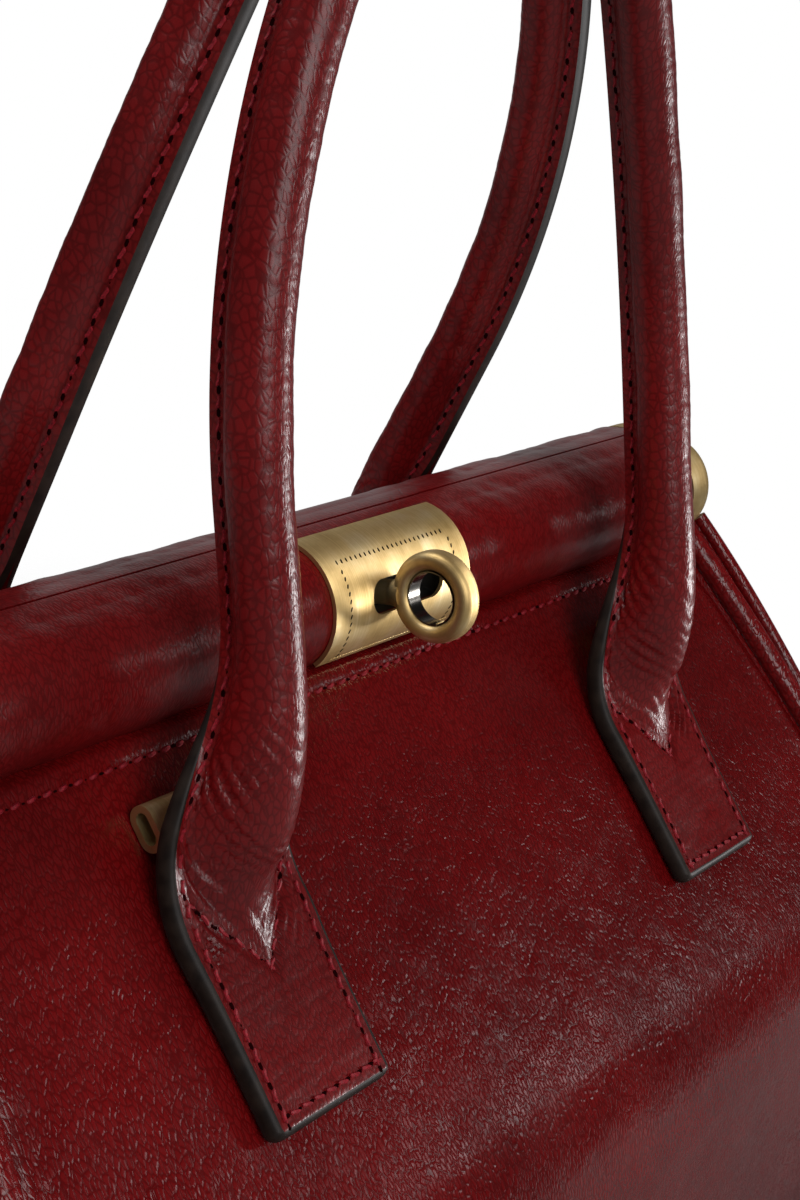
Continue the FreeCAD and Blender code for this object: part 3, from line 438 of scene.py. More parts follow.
# Piping. A cord covered in the same leather, sewn into the seam between panel and gusset from roll to base.
# It stands proud as a round ridge, with the gusset's turned edge as a thinner one beside it, over a strip
# that closes the seam. Both are cut off square under the roll's end, where the pale raw leather shows.
PIPING_RADIUS, TURNING_RADIUS = 2.7, 1.7
PIPING_LINE = dict(beside=2.2, flare=1.0, proud=1.7, lift=0.3)
TURNING_LINE = dict(beside=5.4, flare=4.5, proud=1.6, lift=2.0)
FLAT_FALL, STRIP_IN, STRIP_LOW, STRIP_THICK = 1.2, 3, 1.2, 1.2
RAW_DARK, RAW_PALE, FUZZ_WIDTH = "#8d7264", "#b39c8d", 0.6
raw_leather = mottled("raw_cut_leather", FUZZ_WIDTH, 3.0, (0.3, RAW_DARK), (0.7, RAW_PALE), Roughness=0.85)[0]


def closed_faces(rows, columns):
    """The faces of a looped grid, with its first and its last row closed by one face each."""
    ends = [list(range(at, at + columns)) for at in (0, (rows - 1) * columns)]
    return grid_faces(rows, columns, loop=True).tolist() + ends


def joined(parts):
    """Points and faces of several parts as one mesh: each part's faces count on from the points before it."""
    points = [run.reshape(-1, 3) for run, _ in parts]
    before = np.cumsum([0] + [len(run) for run in points])
    faces = [[corner + first for corner in face]
             for (_, corners), first in zip(parts, before) for face in corners]
    return np.concatenate(points), faces


def tube(path, radius, sides=12):
    """A round tube along a path: at each point a circle square to the path, drawn from the path's own
    direction and a steady second axis. Gives points and faces, with both ends closed."""
    ahead = unit(np.gradient(path, axis=0))
    first = unit(np.cross(ahead, (1.0, 0, 0)))
    second = np.cross(ahead, first)
    turn = np.linspace(0, 2 * np.pi, sides, endpoint=False)[None, :, None]
    points = path[:, None] + radius * (np.cos(turn) * first[:, None] + np.sin(turn) * second[:, None])
    return points, closed_faces(len(path), sides)


def corner_flare(down):
    """How far the seam of panel and gusset has turned out to its top corner: 0 below, near 1 at the top."""
    return 1 - ease(down, -12, 80)


def cord_line(down, beside, flare, proud, lift):
    """A cord's place at a length down the seam: half the bag's length there, and the distance off the
    leather's line; flare and lift take it out and up towards the top corner."""
    turned = corner_flare(down)
    off = proud - FLAT_FALL * ease(down, 0, 90) + lift * turned
    return panel_half(down) + beside + flare * turned, off


def seam_points(side, end, down, x, off):
    """Points of the seam from half lengths and distances off the leather's line."""
    y, z = wall_line(down, off)
    return np.stack([end * x + 0 * y, side * y, z + 0 * x], -1)


for name, side in sides:
    down = np.linspace(-TUCK, WALL_LENGTH + 0.7 * (BASE_TOP - base_low[2]), 140)
    piping, turning = cord_line(down, **PIPING_LINE), cord_line(down, **TURNING_LINE)
    share = np.linspace(0, 1, 6)
    strip_from = panel_half(down) - STRIP_IN, np.full(down.shape, -STRIP_LOW)
    strip_x, strip_off = (edge[:, None] + (cord - edge)[:, None] * share
                          for edge, cord in zip(strip_from, turning))
    parts = []
    for end in (-1, 1):
        parts += [tube(seam_points(side, end, down, *line), radius)
                  for line, radius in ((piping, PIPING_RADIUS), (turning, TURNING_RADIUS))]
        parts.append(shell(*(seam_points(side, end, down[:, None], strip_x, strip_off - thick)
                             for thick in (0, STRIP_THICK))))
    marks = np.concatenate([[0] * (len(corners) - 2) + [1, 0] for _, corners in parts])
    made = piece(name + "_leather_piping", *joined(parts), burgundy, raw_leather, marks=marks)
    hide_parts(name + "_piping")
    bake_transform(made)

# Gussets. Each end wall is two leaves of leather that lap in the middle, one sewn to each panel, so that the
# end can part when the jaws open. Below the frame's end each leaf bows out and comes to a corner at its top.
GUSSET_TOP, LAP, LEAF_WALL, LEAF_GAP = SEAM_Z + 1.5, 14, 1.6, 0.3
CORNER_REACH, LEAST_BOW, BOW_SHARE, CORNER_TURN = 121, 1.2, 0.34, 6.5


def leaf_points(side, end, share, z, inset):
    """A gusset leaf: share runs from the piping at 0 to past the middle plane at 1. It starts on the panel's
    line, swells out to the corner's reach over the first third, and falls back to the flat end wall."""
    down = np.linspace(-TUCK - 1, WALL_LENGTH, 400)
    line_y, line_z = wall_line(down, -1.0 + 3.0 * corner_flare(down))
    edge, flare = (np.interp(z, line_z[::-1], table[::-1]) for table in (line_y, corner_flare(down)))
    y = edge * (1 - share) - LAP * share
    flat = half_length(z)
    bow = np.maximum(CORNER_REACH - flat, LEAST_BOW)
    rising = np.clip(share / BOW_SHARE, 0, 1)
    falling = np.clip((share - BOW_SHARE) / 0.5, 0, 1)
    swell = np.where(share < BOW_SHARE, np.sin(rising * np.pi / 2), 0.25 + 0.75 * np.cos(falling * np.pi / 2))
    turned = CORNER_TURN * flare * ease(share, 0, 0.08) * (1 - rising)
    x = flat - 0.8 + bow * swell + turned - inset + 0.25 * waves(y, z, 30, 7, 8)
    return np.stack([end * x, side * y, z + 0 * y], -1)


for name, side in sides:
    share, z = np.linspace(0, 1, 70)[None, :], np.linspace(BASE_TOP, GUSSET_TOP, 110)[:, None]
    lapped = -(LEAF_WALL + LEAF_GAP) * ease(share, 0.3, 0.75) if side < 0 else 0 * share
    leaves = [shell(*(leaf_points(side, end, share, z, lapped + wall) for wall in (0, LEAF_WALL)))
              for end in (-1, 1)]
    made = piece(name + "_gusset_leaves", *joined(leaves), burgundy)
    if side < 0:
        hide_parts("left_gusset", "right_gusset")
    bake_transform(made)

# Lining. Brown cotton twill glued to the inside of each panel, from below the roll's flap to the board.
# Fine diagonal ribs in a dull cloth, drawn a little coarse so that they show.
LINING_GAP, LINING_WALL, LINING_TOP, LINING_END, LINING_SHARE = 0.3, 0.6, 14, 3, 0.985
TWILL_DARK, TWILL_PALE, TWILL_RIB, RIB_DEPTH = "#4a382d", "#665041", 1.775, 0.15
WAVE_RADIANS = 20
twill, tree, shader, place = start_material("brown_cotton_twill", Roughness=0.85, Sheen_Weight=0.2)
turned = add(tree, "Mapping", {"Vector": place, "Rotation": (0, math.radians(45), 0)})
ribs = add(tree, "TexWave", {"Vector": turned, "Scale": per(TWILL_RIB) * 2 * math.pi / WAVE_RADIANS,
                             "Distortion": 0.6}).outputs["Fac"]
colour = add(tree, "ValToRGB", {"Fac": ribs}, ((0.2, TWILL_DARK), (0.8, TWILL_PALE)))
bump = add(tree, "Bump", {"Height": ribs, "Strength": 0.5, "Distance": RIB_DEPTH * MM})
join(tree, shader, {"Base Color": colour, "Normal": bump})
for name, side in sides:
    across = np.linspace(-1, 1, 60)[None, :] * LINING_SHARE
    down = np.linspace(LINING_TOP, WALL_LENGTH - LINING_END, 90)[:, None]
    cloth = shell(*(panel_points(side, across, down, lambda x, down, half, lift=lift: np.full(x.shape, -lift))
                    for lift in (WALL + LINING_GAP, WALL + LINING_GAP + LINING_WALL)))
    made = piece(name + "_twill_lining", *cloth, twill)
    width, length = 2 * LINING_SHARE * panel_half(down) * MM, (down[-1, 0] - down[0, 0]) * MM
    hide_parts(name + "_lining")
    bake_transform(made)

# Rolls. Leather wrapped over a layer of foam on each jaw's bar: round outside, flat where the two close on
# each other, a little fuller at the ridge between them. The front one is hollowed behind the lock's slot,
# and the leather in that hollow is painted near black as painted shade.
cap_low, cap_high = (np.array(corner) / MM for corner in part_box("front_left_end_cap"))
ROLL_RADIUS, RIDGE_Z, RIDGE_SWELL, MIDDLE, ROLL_EDGE = 11.8, 199.6, 1.75, 0.3, 2.0
ROLL_HALF, ROLL_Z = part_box("front_roll_cover")[1].x / MM, (cap_low[2] + cap_high[2]) / 2
ROLL_Y = (cap_high[2] - cap_low[2]) / -2 - cap_low[1]
SLOT_ANGLE, SLOT_X, SLOT_HALF, SLOT_HIGH, SLOT_DEEP = math.radians(15), 1.0, 13, 4.6, 6
PLATE_COVER, CREASE_DEEP = 22, 0.07
DRAWN_RELIEF, DRAWN_ROUGH = 0.58, 0.29
drawn_leather = milled_leather("burgundy_leather_drawn_smooth", LEATHER_DEEP, LEATHER_FULL, DRAWN_RELIEF,
                               DRAWN_ROUGH)
# Painted shade: a near-black colour for the leather inside the hollow behind the slot.
slot_shade = start_material("painted_shade_in_lock_slot", Base_Color=linear("#0c0a09"), Roughness=0.6)[0]


def roll_section(turn, shrink):
    """The roll's outline by angle from level: a circle, drawn out near the ridge into a flat slope that meets
    the middle plane, and cut flat there. shrink pulls it towards the bar at the rounded ends."""
    reach = ROLL_RADIUS - shrink + RIDGE_SWELL * np.clip((np.degrees(turn) - 84) / 27, 0, 1) ** 1.2
    y = np.maximum(ROLL_Y + reach * np.cos(turn), MIDDLE)
    z = np.minimum(ROLL_Z + reach * np.sin(turn), RIDGE_Z - shrink)
    return y, z


def from_slot(x, turn):
    """How far a place on the front roll lies outside the hollow behind the slot, along the bag and round the
    roll; less than nothing is inside."""
    return np.abs(x - SLOT_X) - SLOT_HALF, np.abs(turn - SLOT_ANGLE) * ROLL_RADIUS - SLOT_HIGH


def roll_points(side, x, turn):
    """A roll: its outline carried along the bag, rounded in at both ends, with the leather's hand, fine
    creases across its top and, on the front, the hollow behind the slot."""
    into_end = np.clip(1 - (ROLL_HALF - np.abs(x)) / ROLL_EDGE, 0, 1)
    shrink = ROLL_EDGE * (1 - np.sqrt(1 - into_end ** 2))
    round_way, degrees = ROLL_RADIUS * turn, np.degrees(turn)
    hand = 0.12 * waves(x, round_way, 22, 9, 11) + 0.05 * waves(x, round_way, 6, 9, 12)
    crease = np.maximum(waves(x, 0.25 * round_way, 5, 7, 13) - 0.6, 0) * ease(degrees, -20, 40)
    outside = ease(degrees, -115, -100) * (1 - ease(degrees, 92, 104))
    hollow = SLOT_DEEP * (1 - ease(np.maximum(*from_slot(x, turn)), -0.6, 0.6)) if side < 0 else 0.0
    bare = ease(np.abs(x), PLATE_COVER, PLATE_COVER + 3)
    relief = (hand - CREASE_DEEP * crease) * outside * bare
    y, z = roll_section(turn + 0 * x, shrink - relief + 0.1 * (1 - bare) + hollow)
    return np.stack([x + 0 * y, side * y, z], -1)


rolls = {}
for name, side in sides:
    round_end = ROLL_HALF - ROLL_EDGE * (1 - np.sin(np.linspace(0.1, np.pi / 2, 8)))
    x = np.concatenate([-round_end[::-1], np.linspace(-ROLL_HALF + 3, -15.6, 110), np.linspace(-15, 17, 90),
                        np.linspace(17.6, ROLL_HALF - 3, 108), round_end])[:, None]
    degrees = [np.linspace(-111, -6, 50), np.linspace(-5, 36, 44), np.linspace(38, 111, 40)]
    turn = np.radians(np.concatenate(degrees))[None, :]
    points = roll_points(side, x, turn)
    along, around = from_slot(x[:-1], turn)
    # Faces inside the hollow behind the slot get the painted shade.
    inside = (along < 0.6) & (around < 0.6) & (side < 0)
    rolls[name] = piece(name + "_leather_roll", points, closed_faces(*points.shape[:2]), drawn_leather,
                        slot_shade, marks=np.concatenate([inside.ravel(), [False, False]]), crisp=35)
    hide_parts(name + "_roll_cover")
    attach(rolls[name], name + "_jaw")

# Lock plate's border. Ticks punched across a line near the plate's edges, dark where the patina stayed in
# them, and a fine bright bead along the lower edge.
PLATE_RADIUS, PLATE_HALF = ROLL_RADIUS + 0.85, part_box("lock_plate")[1].x / MM
TICK_PITCH, TICK_LONG, TICK_WIDE, BEAD_PITCH, BEAD_IN = 1.4, 0.95, 0.5, 0.9, 3
BORDER_IN, BORDER_TOP, BORDER_LOW, BEAD_LOW = 4.4, 54.0, -31.0, -35.5
ROW_TILT, COLUMN_TILT, BEAD_TILT = 0.1, 0.45, 0.9
patina = antique_brass("brass_patina", "#20170a", "#362813", "#4d3b1e", 0.45)


def on_plate(x, turn):
    """Places on the plate, along the bag and by angle round the roll, with the ways round and outwards."""
    flat = 0 * (x + turn)
    cos, sin = np.cos(turn) + flat, np.sin(turn) + flat
    spot = np.stack([x + flat, -(ROLL_Y + PLATE_RADIUS * cos), ROLL_Z + PLATE_RADIUS * sin], -1)
    return spot, np.stack([flat, sin, cos], -1), np.stack([flat, -cos, sin], -1)


def ticks(x, turn, tilt):
    """Small raised ovals on the plate, each long along the way round, turned by tilt towards the bag's
    length: width follows the root of one minus the way along to the fourth, and height an arch across."""
    spot, round_way, outwards = on_plate(x, turn)
    ahead = round_way * math.cos(tilt) + np.array([math.sin(tilt), 0, 0])
    way = np.linspace(-1, 1, 5)[:, None]
    width = TICK_WIDE / 2 * np.sqrt(np.clip(1 - way ** 4, 0, 1))
    across = np.array([-1, -0.6, 0, 0.6, 1, 0])
    high = np.array([-0.04, 0.06, 0.09, 0.06, -0.04, -0.06])
    local = [way * TICK_LONG / 2 + 0 * across, width * across, high + 0 * way]
    return set_out(local, spot, ahead, np.cross(outwards, ahead), outwards)


edge_x = PLATE_HALF - BORDER_IN
row = np.arange(-edge_x, edge_x + 0.1, TICK_PITCH)
column = np.radians(np.arange(BORDER_LOW, BORDER_TOP - 3, np.degrees(TICK_PITCH / PLATE_RADIUS)))
bead = np.arange(BEAD_IN - PLATE_HALF, PLATE_HALF - BEAD_IN + 0.1, BEAD_PITCH)
punched = [ticks(row, np.full(row.shape, math.radians(BORDER_TOP)), ROW_TILT)]
punched += [ticks(np.full(column.shape, end * edge_x), column, COLUMN_TILT) for end in (-1, 1)]
beaded = ticks(bead, np.full(bead.shape, math.radians(BEAD_LOW)), BEAD_TILT)
for name, marks, metal in (("lock_plate_ticks", np.concatenate(punched), patina),
                           ("lock_plate_bead", beaded, brass)):
    border = piece(name, marks, copies_faces(marks), metal)
    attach(border, "front_jaw")

# Ring's bore. A thin sleeve inside the brass ring, in a dark grey metal that paints the bore's shade, so that
# the hole has a grey inner band. Bright inside: it mirrors the room sharply.
LINER_WIDE, LINER_WALL, BORE_RADIUS = 3.4, 0.22, 5.0
openings = {opening["name"]: opening["box_m"] for opening in frame["record"]["physics"]["openings"]}
ring_middle = np.mean(openings["ring_hole"], axis=0) / MM
# Painted shade: the bore's sleeve is coloured dark grey, darker than the brass around it.
bore_shade_metal = start_material("dark_metal_painted_bore_shade", Base_Color=linear("#6f6b66"), Metallic=1.0, Roughness=0.22)[0]
corners = np.array([[-1, 0], [1, 0], [1, 1], [-1, 1]])
section_x, section_out = (corners * [LINER_WIDE / 2, LINER_WALL] + [0, BORE_RADIUS - LINER_WALL]).T
turn = np.linspace(0, 2 * np.pi, 73)[:, None]
points = np.stack([section_x + 0 * turn, section_out * np.cos(turn), section_out * np.sin(turn)], -1)
liner = piece("ring_bore_liner", ring_middle + points, grid_faces(73, 4, loop=True), bore_shade_metal, crisp=40)
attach(liner, "lock_slider")

# Handles. Each is one strip of leather that starts as a flat tab on the roof, rolls up round a rope on its
# way off the roof, and runs over in an arch to the other tab. Its two edges meet behind the rope as a
# stitched flange and are painted dark; the cut edges of the tabs are painted too.
TAB_X, LEG_X, CORD_RADIUS, FLANGE_REACH, FLANGE_THICK, ROPE_LIFT = 65.5, 63, 5.3, 8.3, 3.6, 6.1
TAB_END, TAB_HALF, TAB_THICK, TAB_LIFT, TAB_CORNER, TAB_ROUND = 66.9, 14.9, 4.0, 0.35, 2.0, 1.5
ELBOW_DOWN, ELBOW_RADIUS, SWAY_RADIUS = 26, 20, 80
FRAME_TOP, LEG_RISE, ARCH_RISE, ARCH_RATIO, CROWN_APART, CROWN_SHIFT = 200, 20, 143, 2.36, 9.15, 3.9
LEANS = {"front": (15, 6), "back": (19, 20)}
CLOSING, TOE_TIP, TOE_BACK, TOE_RISE = (28, 86), 26, 7, 20
NECK_SWELL, NECK_AT, NECK_LONG, NECK_BELOW, NECK_ABOVE = 0.27, 53, 17, 9, 14
PLEATS_FROM, PLEATS_TO, PLEAT_PITCH, PLEAT_DEEP, PLEAT_FAN = (25, 31), (54, 80), 3.2, 0.75, 21
V_TIP, V_TOP, V_WAY, V_DEEP, V_WIDE = 24.4, 38, 0.8, 0.6, 1.2
PAINT_DARK, PAINT_PALE, PAINT_WIDTH, PAINT_DEPTH = "#150e0b", "#231a15", 3, 0.2
PAINTED_END, STITCH_IN = 1.3, 3.0


def rounded_path(corners, tangents, step=0.6):
    """A path through corners, each but the first and last replaced by an arc that touches both runs at its
    tangent length from the corner; then stepped out evenly by length."""
    runs = [corners[:1]]
    for before, corner, after, tangent in zip(corners, corners[1:], corners[2:], tangents):
        into, out = unit(corner - before), unit(after - corner)
        turn = math.acos(np.clip(into @ out, -1, 1))
        radius = tangent / math.tan(turn / 2)
        side = unit(out - into * math.cos(turn))
        angle = np.linspace(0, turn, 80)[:, None]
        runs.append(corner - into * tangent + radius * (np.sin(angle) * into + (1 - np.cos(angle)) * side))
    points = np.concatenate(runs + [corners[-1:]])
    gone = np.concatenate([[0], np.cumsum(np.linalg.norm(np.diff(points, axis=0), axis=1))])
    even = np.linspace(0, gone[-1], int(gone[-1] / step) + 1)
    return np.stack([np.interp(even, gone, points[:, k]) for k in range(3)], -1), even


def handle_path(name, side):
    """The rope's line: up the roof, round the elbow, upright, over to its lean, and round two arcs to the
    crown, whose corners follow from the lean, the crown and the ratio of their tangents; then mirrored."""
    lean, sway_drop = math.radians(LEANS[name][0]), LEANS[name][1]
    y_end, z_end = wall_line(np.array(float(TAB_END)), ROPE_LIFT)
    y_bow, z_bow = wall_line(np.array(float(ELBOW_DOWN)), ROPE_LIFT)
    up = np.array([0, -side * math.sin(lean), math.cos(lean)])
    sway = np.array([LEG_X, side * y_bow, FRAME_TOP - sway_drop])
    leg_top = sway + up * (LEG_RISE + sway_drop) / up[2]
    crown = np.array([0, side * CROWN_APART - CROWN_SHIFT, FRAME_TOP + ARCH_RISE])
    inwards = np.array([-1.0, 0, 0])
    span = crown - leg_top
    along, curve = ARCH_RATIO * span @ up + span @ inwards, ARCH_RATIO * (1 - up @ inwards)
    tangent = (math.sqrt(along ** 2 + 2 * curve * span @ span) - along) / (2 * curve)
    corners = np.array([[TAB_X, side * y_end, z_end], [TAB_X, side * y_bow, z_bow], sway,
                        leg_top + up * ARCH_RATIO * tangent, crown - inwards * tangent, crown])
    tangents = [ELBOW_RADIUS * math.tan(ROOF / 2), SWAY_RADIUS * math.tan(lean / 2), ARCH_RATIO * tangent,
                tangent]
    half, gone = rounded_path(corners, tangents)
    mirrored = half[-2::-1] * (-1, 1, 1)
    return np.concatenate([half, mirrored]), np.concatenate([gone, 2 * gone[-1] - gone[-2::-1]])


def strip_section(way, closed, raised, end_in, end_round):
    """The strip's outline: way runs -1 to 1 over the outer face from edge to edge, and on to 1.2 over the
    painted edge and to 2 along the back, all mirrored below -1. Flat, it is a plain strip; rolled, the face
    runs round the rope and out along the flange, the edge is half the flange's end, and the back is shut
    inside. closed draws the edges together, and raised lifts the middle of the face over the rope's end.
    Gives places across and outwards, and the way the face looks: out while flat, then square to its run."""
    sign, far = np.sign(way), np.abs(way)
    face, edge, back = np.clip(far, 0, 1), np.clip((far - 1) / 0.2, 0, 1), np.clip((far - 1.2) / 0.8, 0, 1)
    flat_x = (TAB_HALF - TAB_ROUND - end_in) * face * (1 - back) + TAB_ROUND * np.sin(edge * np.pi)
    flat_b = TAB_LIFT - ROPE_LIFT + TAB_THICK / 2 * (1 + np.cos(edge * np.pi) * end_round)
    root = math.asin(FLANGE_THICK / 2 / CORD_RADIUS)
    arc_long, fin_long = CORD_RADIUS * (math.pi - root), FLANGE_REACH - CORD_RADIUS * math.cos(root)
    split = arc_long / (arc_long + fin_long)
    angle = np.minimum(face / split, 1) * (math.pi - root)
    fin = np.clip((face - split) / (1 - split), 0, 1)
    fin_x = FLANGE_THICK / 2 * (1 - 0.12 * fin ** 4)
    round_x = np.where(fin > 0, fin_x, CORD_RADIUS * np.sin(angle)) * (1 - edge)
    round_b = CORD_RADIUS * np.cos(angle) - fin_long * fin - 0.25 * np.sin(edge * np.pi / 2) + 1.5 * back
    lifted = closed + (raised - closed) * (1 - face ** 3)
    facing = np.where(fin > 0, math.pi / 2, angle) * closed
    return (sign * (flat_x + (round_x - flat_x) * closed), flat_b + (round_b - flat_b) * lifted,
            sign * np.sin(facing), np.cos(facing))


def make_strip(name, side):
    """The handle's surface as a function of the length along it and the way round its outline: the outline
    carried along the rope's line, fuller at the neck, with pleats where the elbow's outer face is pressed
    together, a groove along the V of stitches, and the leather's hand."""
    path, gone = handle_path(name, side)
    total = gone[-1]
    ahead = unit(np.gradient(path, axis=0))
    out = unit(np.array([0.0, side, 0.0]) - (ahead @ [0.0, side, 0.0])[:, None] * ahead)
    beside = np.cross(ahead, out)

    def at(table, long):
        """The table's vector at a length along the path, between its neighbours."""
        return np.stack([np.interp(long, gone, table[:, k]) for k in range(3)], -1)

    def strip(long, way):
        """A point of the surface: the outline's place, moved by the relief the way the face looks."""
        long, way = np.broadcast_arrays(long, way)
        from_end, far = np.minimum(long, total - long), np.abs(way)
        closed, toe = ease(from_end, *CLOSING), TOE_TIP + TOE_BACK * np.clip(far, 0, 1) ** 2
        raised = ease(from_end, toe, toe + TOE_RISE)
        corner = np.clip(1 - from_end / TAB_CORNER, 0, 1)
        end_in = TAB_CORNER * (1 - np.sqrt(1 - corner ** 2))
        end_round = np.sqrt(1 - 0.96 * np.clip(1 - from_end / TAB_ROUND, 0, 1) ** 2)
        x, b, look_x, look_b = strip_section(way, closed, raised, end_in, end_round)
        full = 1 + NECK_SWELL * np.exp(-((from_end - NECK_AT) / NECK_LONG) ** 2)
        x, b = x * full, (b + ROPE_LIFT) * full - ROPE_LIFT
        face = np.clip(1 - far, 0, 1)
        pinch = ease(from_end, *PLEATS_FROM) * (1 - ease(from_end, *PLEATS_TO)) * ease(face, 0.14, 0.24)
        fan = (from_end - PLEAT_FAN * far) / PLEAT_PITCH + 0.5 * waves(long, 12 * way, 14, 5, 21 + side)
        fold = np.maximum(np.sin(2 * np.pi * fan), -0.3) * (0.6 + 0.4 * waves(long, 12 * way, 9, 5, 22))
        pleats = pinch * (1 - 0.5 * ease(face, 0.45, 0.85)) * fold
        from_vee = (from_end - V_TIP - (V_TOP - V_TIP) * far / V_WAY) * 0.75
        vee = np.exp(-(from_vee / V_WIDE) ** 2) * (1 - ease(far, V_WAY, V_WAY + 0.1))
        hand = 0.1 * waves(long, 9 * way, 16, 7, 23 + side) + 0.03 * waves(long, 2 * way, 2.6, 7, 24)
        relief = hand * ease(face, 0, 0.3) - V_DEEP * vee - PLEAT_DEEP * pleats
        x, b = x + relief * look_x, b + relief * look_b
        return at(path, long) + x[..., None] * at(beside, long) + b[..., None] * at(out, long)

    return strip, total


edge_paint, tree, shader, mottle = mottled("painted_leather_edge", PAINT_WIDTH, 4.0, (0.35, PAINT_DARK),
                                           (0.65, PAINT_PALE), Roughness=0.5, Specular_IOR_Level=0.2)
bump = add(tree, "Bump", {"Height": mottle, "Strength": 0.25, "Distance": PAINT_DEPTH * MM})
join(tree, shader, {"Normal": bump})
handles = {}
for name, side in sides:
    strip, total = make_strip(name, side)
    near_end = np.concatenate([np.linspace(0, 2, 11), np.linspace(2.6, 90, 150)])
    long = np.concatenate([near_end, np.linspace(90.7, total - 90.7, 560), total - near_end[::-1]])
    half_way = np.concatenate([np.linspace(0, 1, 27), np.linspace(1.025, 1.2, 8), [1.4, 1.7]])
    way = np.concatenate([half_way, [2.0], -half_way[:0:-1]])
    points = strip(long[:, None], way[None, :])
    least_way = np.abs(np.stack([way, np.roll(way, -1)])).min(0)
    on_edge = (least_way >= 1.0) & (least_way < 1.2)
    on_end = np.minimum(long, total - long)[:-1] < PAINTED_END
    painted = (on_end[:, None] | on_edge[None, :]).ravel()
    handles[name] = piece(name + "_leather_handle", points, closed_faces(*points.shape[:2]), drawn_leather,
                          edge_paint, marks=np.concatenate([painted, [True, True]]), crisp=60)
    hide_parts(name + "_handle_cover", name + "_handle_core", name + "_left_handle_tab",
                name + "_right_handle_tab")
    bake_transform(handles[name])

    run = np.arange(STITCH_IN, total - STITCH_IN, STITCH_PITCH)
    in_way = 1 - (STITCH_IN - TAB_ROUND) / (TAB_HALF - TAB_ROUND)
    end_way = np.arange(-in_way, in_way, STITCH_PITCH / TAB_HALF)
    climb = np.linspace(0.02, V_WAY, 6)
    up_vee = V_TIP + (V_TOP - V_TIP) * climb / V_WAY
    seams = [face_normals(strip, run, np.full(run.shape, hand * in_way), 0.01) for hand in (-1, 1)]
    tab_rows = (np.full(end_way.shape, STITCH_IN), end_way), (up_vee, -climb), (up_vee, climb)
    for tab_end, sign in ((0, 1), (total, -1)):
        for length, across in tab_rows:
            spot, _, normal = face_normals(strip, tab_end + sign * length, across, 0.01)
            seams.append((spot, np.gradient(spot, axis=0), normal))
    spot, ahead, normal = (np.concatenate(parts) for parts in zip(*seams))
    row = sew(name + "_handle_stitches", spot, ahead, normal)
    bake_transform(row)

# Floor, light and camera. A pale floor that fades into a white backdrop, soft boxes, some of them flagged to
# certain pieces, and a dim room, seen from the left of the front, a little above. In reflections the floor
# and the backdrop are dimmer, so that the leather keeps its depth of colour.
FLOOR_PALE, FLOOR_IN_GLOSS, FLOOR_RADIUS, FLOOR_LOW = "#f2f2f2", "#8c8c8c", 800, 0.2
FADE_FROM, FADE_TO = 0.22, 0.5
floor_paint, tree, shader, place = start_material("matt_painted_floor", Roughness=0.8)
paths = add(tree, "LightPath").outputs
tone = add(tree, "MixRGB", {"Fac": paths["Is Glossy Ray"], "Color1": linear(FLOOR_PALE),
                            "Color2": linear(FLOOR_IN_GLOSS)})
join(tree, shader, {"Base Color": tone})
far = add(tree, "VectorMath", {0: place}, operation="LENGTH").outputs["Value"]
fade = add(tree, "MapRange", {"Value": far, "From Min": FADE_FROM, "From Max": FADE_TO},
           interpolation_type="SMOOTHSTEP")
gone = add(tree, "Math", {0: fade, 1: paths["Is Camera Ray"]}, operation="MULTIPLY")
clear = add(tree, "BsdfTransparent")
faded = add(tree, "MixShader", {0: gone, 1: shader, 2: clear})
join(tree, next(node for node in tree.nodes if node.type == "OUTPUT_MATERIAL"), {"Surface": faded})
ring, spoke = np.linspace(0, 2 * np.pi, 64, endpoint=False)[None, :], np.linspace(0, FLOOR_RADIUS, 5)[:, None]
disc = np.stack([spoke * np.cos(ring), spoke * np.sin(ring), 0 * spoke * ring - FLOOR_LOW], -1)
floor = piece("floor", disc, grid_faces(5, 64, loop=True), floor_paint)

BACKDROP_WAY, BACKDROP_EDGE, BACKDROP_GLOSS, ROOM_LIGHT, ROOM_GLOSS = (0.84, 0.54, 0.0), 0.74, 0.4, 0.34, 0.02
world = bpy.data.worlds.new("studio")
bpy.context.scene.world = world
world.use_nodes = True
tree = world.node_tree
tree.nodes.clear()
paths = add(tree, "LightPath").outputs
sight = add(tree, "TexCoord").outputs["Generated"]
facing = add(tree, "VectorMath", {0: sight, 1: BACKDROP_WAY}, operation="DOT_PRODUCT").outputs["Value"]
backdrop = add(tree, "MapRange", {"Value": facing, "From Min": BACKDROP_EDGE, "From Max": 1.0,
                                  "To Min": ROOM_GLOSS, "To Max": BACKDROP_GLOSS},
               interpolation_type="SMOOTHSTEP")
sharp = add(tree, "Math", {0: paths["Is Glossy Ray"], 1: paths["Is Transmission Ray"]}, operation="MAXIMUM")
seen = add(tree, "Mix", {"Factor": sharp, "A": ROOM_LIGHT, "B": backdrop})
level = add(tree, "Mix", {"Factor": paths["Is Camera Ray"], "A": seen, "B": 1.0})
glow = add(tree, "Background", {"Color": (1, 1, 1, 1), "Strength": level})
add(tree, "OutputWorld", {"Surface": glow})


def set_down(made, right, up, back, place):
    """Links an object to the scene, turned to three axes and set at a place in metres."""
    axes = np.stack([right, up, back], 1)
    made.matrix_world = Matrix([[*row, at] for row, at in zip(axes, place)] + [[0, 0, 0, 1]])
    bpy.context.scene.collection.objects.link(made)


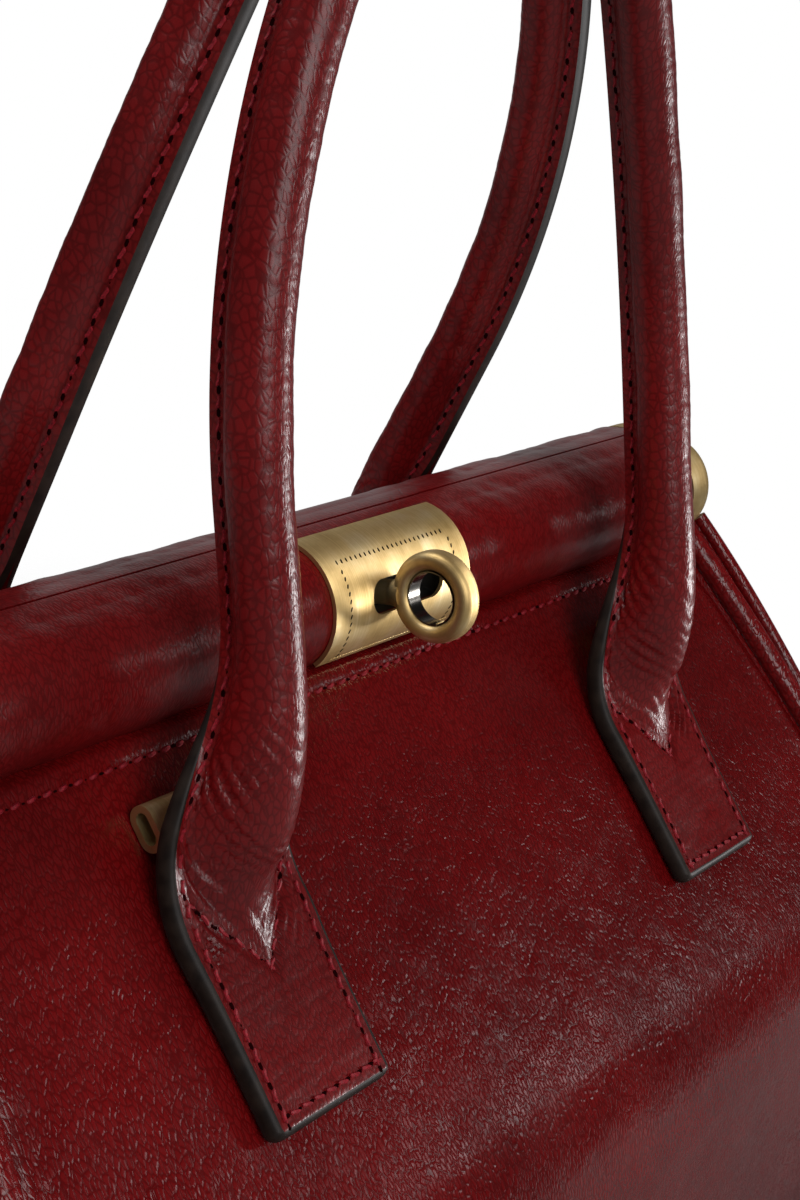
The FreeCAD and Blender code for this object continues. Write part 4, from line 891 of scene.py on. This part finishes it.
def soft_box(name, place, size, watts, lit=(), unlit=()):
    """A square soft box at a place, facing the bag, flagged to light only the pieces in lit, or all but
    those in unlit."""
    lamp = bpy.data.lights.new(name, "AREA")
    lamp.shape, lamp.size, lamp.energy = "SQUARE", size, watts
    made = bpy.data.objects.new(name, lamp)
    back = unit(np.array(place) - AIM)
    right = unit(np.cross((0, 0, 1), back))
    set_down(made, right, np.cross(back, right), back, place)
    if lit or unlit:
        group = made.light_linking.receiver_collection = bpy.data.collections.new(name + "_pieces")
        for flagged in lit or unlit:
            group.objects.link(flagged)
        for entry in group.collection_objects:
            entry.light_linking.link_state = "INCLUDE" if lit else "EXCLUDE"


AIM = np.array((0, 0, 0.18))
BRASS_CARD_PLACE, BRASS_CARD_SIZE = (0.76, -0.5, 0.58), 0.7
caps = [nodes[name] for name in CAPS]
soft_box("right_strip", (0.80, -0.70, 0.09), 0.2, 6.2, unlit=[*panels.values(), *rolls.values(), *caps])
soft_box("roof_sparkle", (0.75, -0.66, 0.43), 0.1, 0.36, unlit=[*handles.values()])
soft_box("brass_card", BRASS_CARD_PLACE, BRASS_CARD_SIZE, 6.3, lit=[nodes["lock_plate"], nodes["lock_ring"]])
soft_box("cap_card", BRASS_CARD_PLACE, BRASS_CARD_SIZE, 1.6, lit=caps)
soft_box("key_box", (-0.4, -0.92, 0.75), 0.6, 7.2)
soft_box("top_box", (-0.2, 0.45, 1.0), 0.5, 4.5)

FOCAL, PHOTO_HEIGHT, SENSOR = 2124.2, 1200, 36
RIGHT, DOWN = np.array((0.58467, -0.79558, 0.15877)), np.array((-0.20144, -0.33194, -0.92154))
FORWARD, CAMERA_PLACE = np.array((0.78586, 0.50682, -0.35434)), (-0.30816, -0.21423, 0.32670)
camera_data = bpy.data.cameras.new("camera")
camera_data.sensor_width, camera_data.lens = SENSOR, FOCAL * SENSOR / PHOTO_HEIGHT
camera_data.clip_start, camera_data.clip_end = 0.01, 10
camera = bpy.data.objects.new("camera", camera_data)
set_down(camera, RIGHT, -DOWN, -FORWARD, CAMERA_PLACE)
bpy.context.scene.camera = camera
bpy.context.scene.view_settings.view_transform = "Standard"
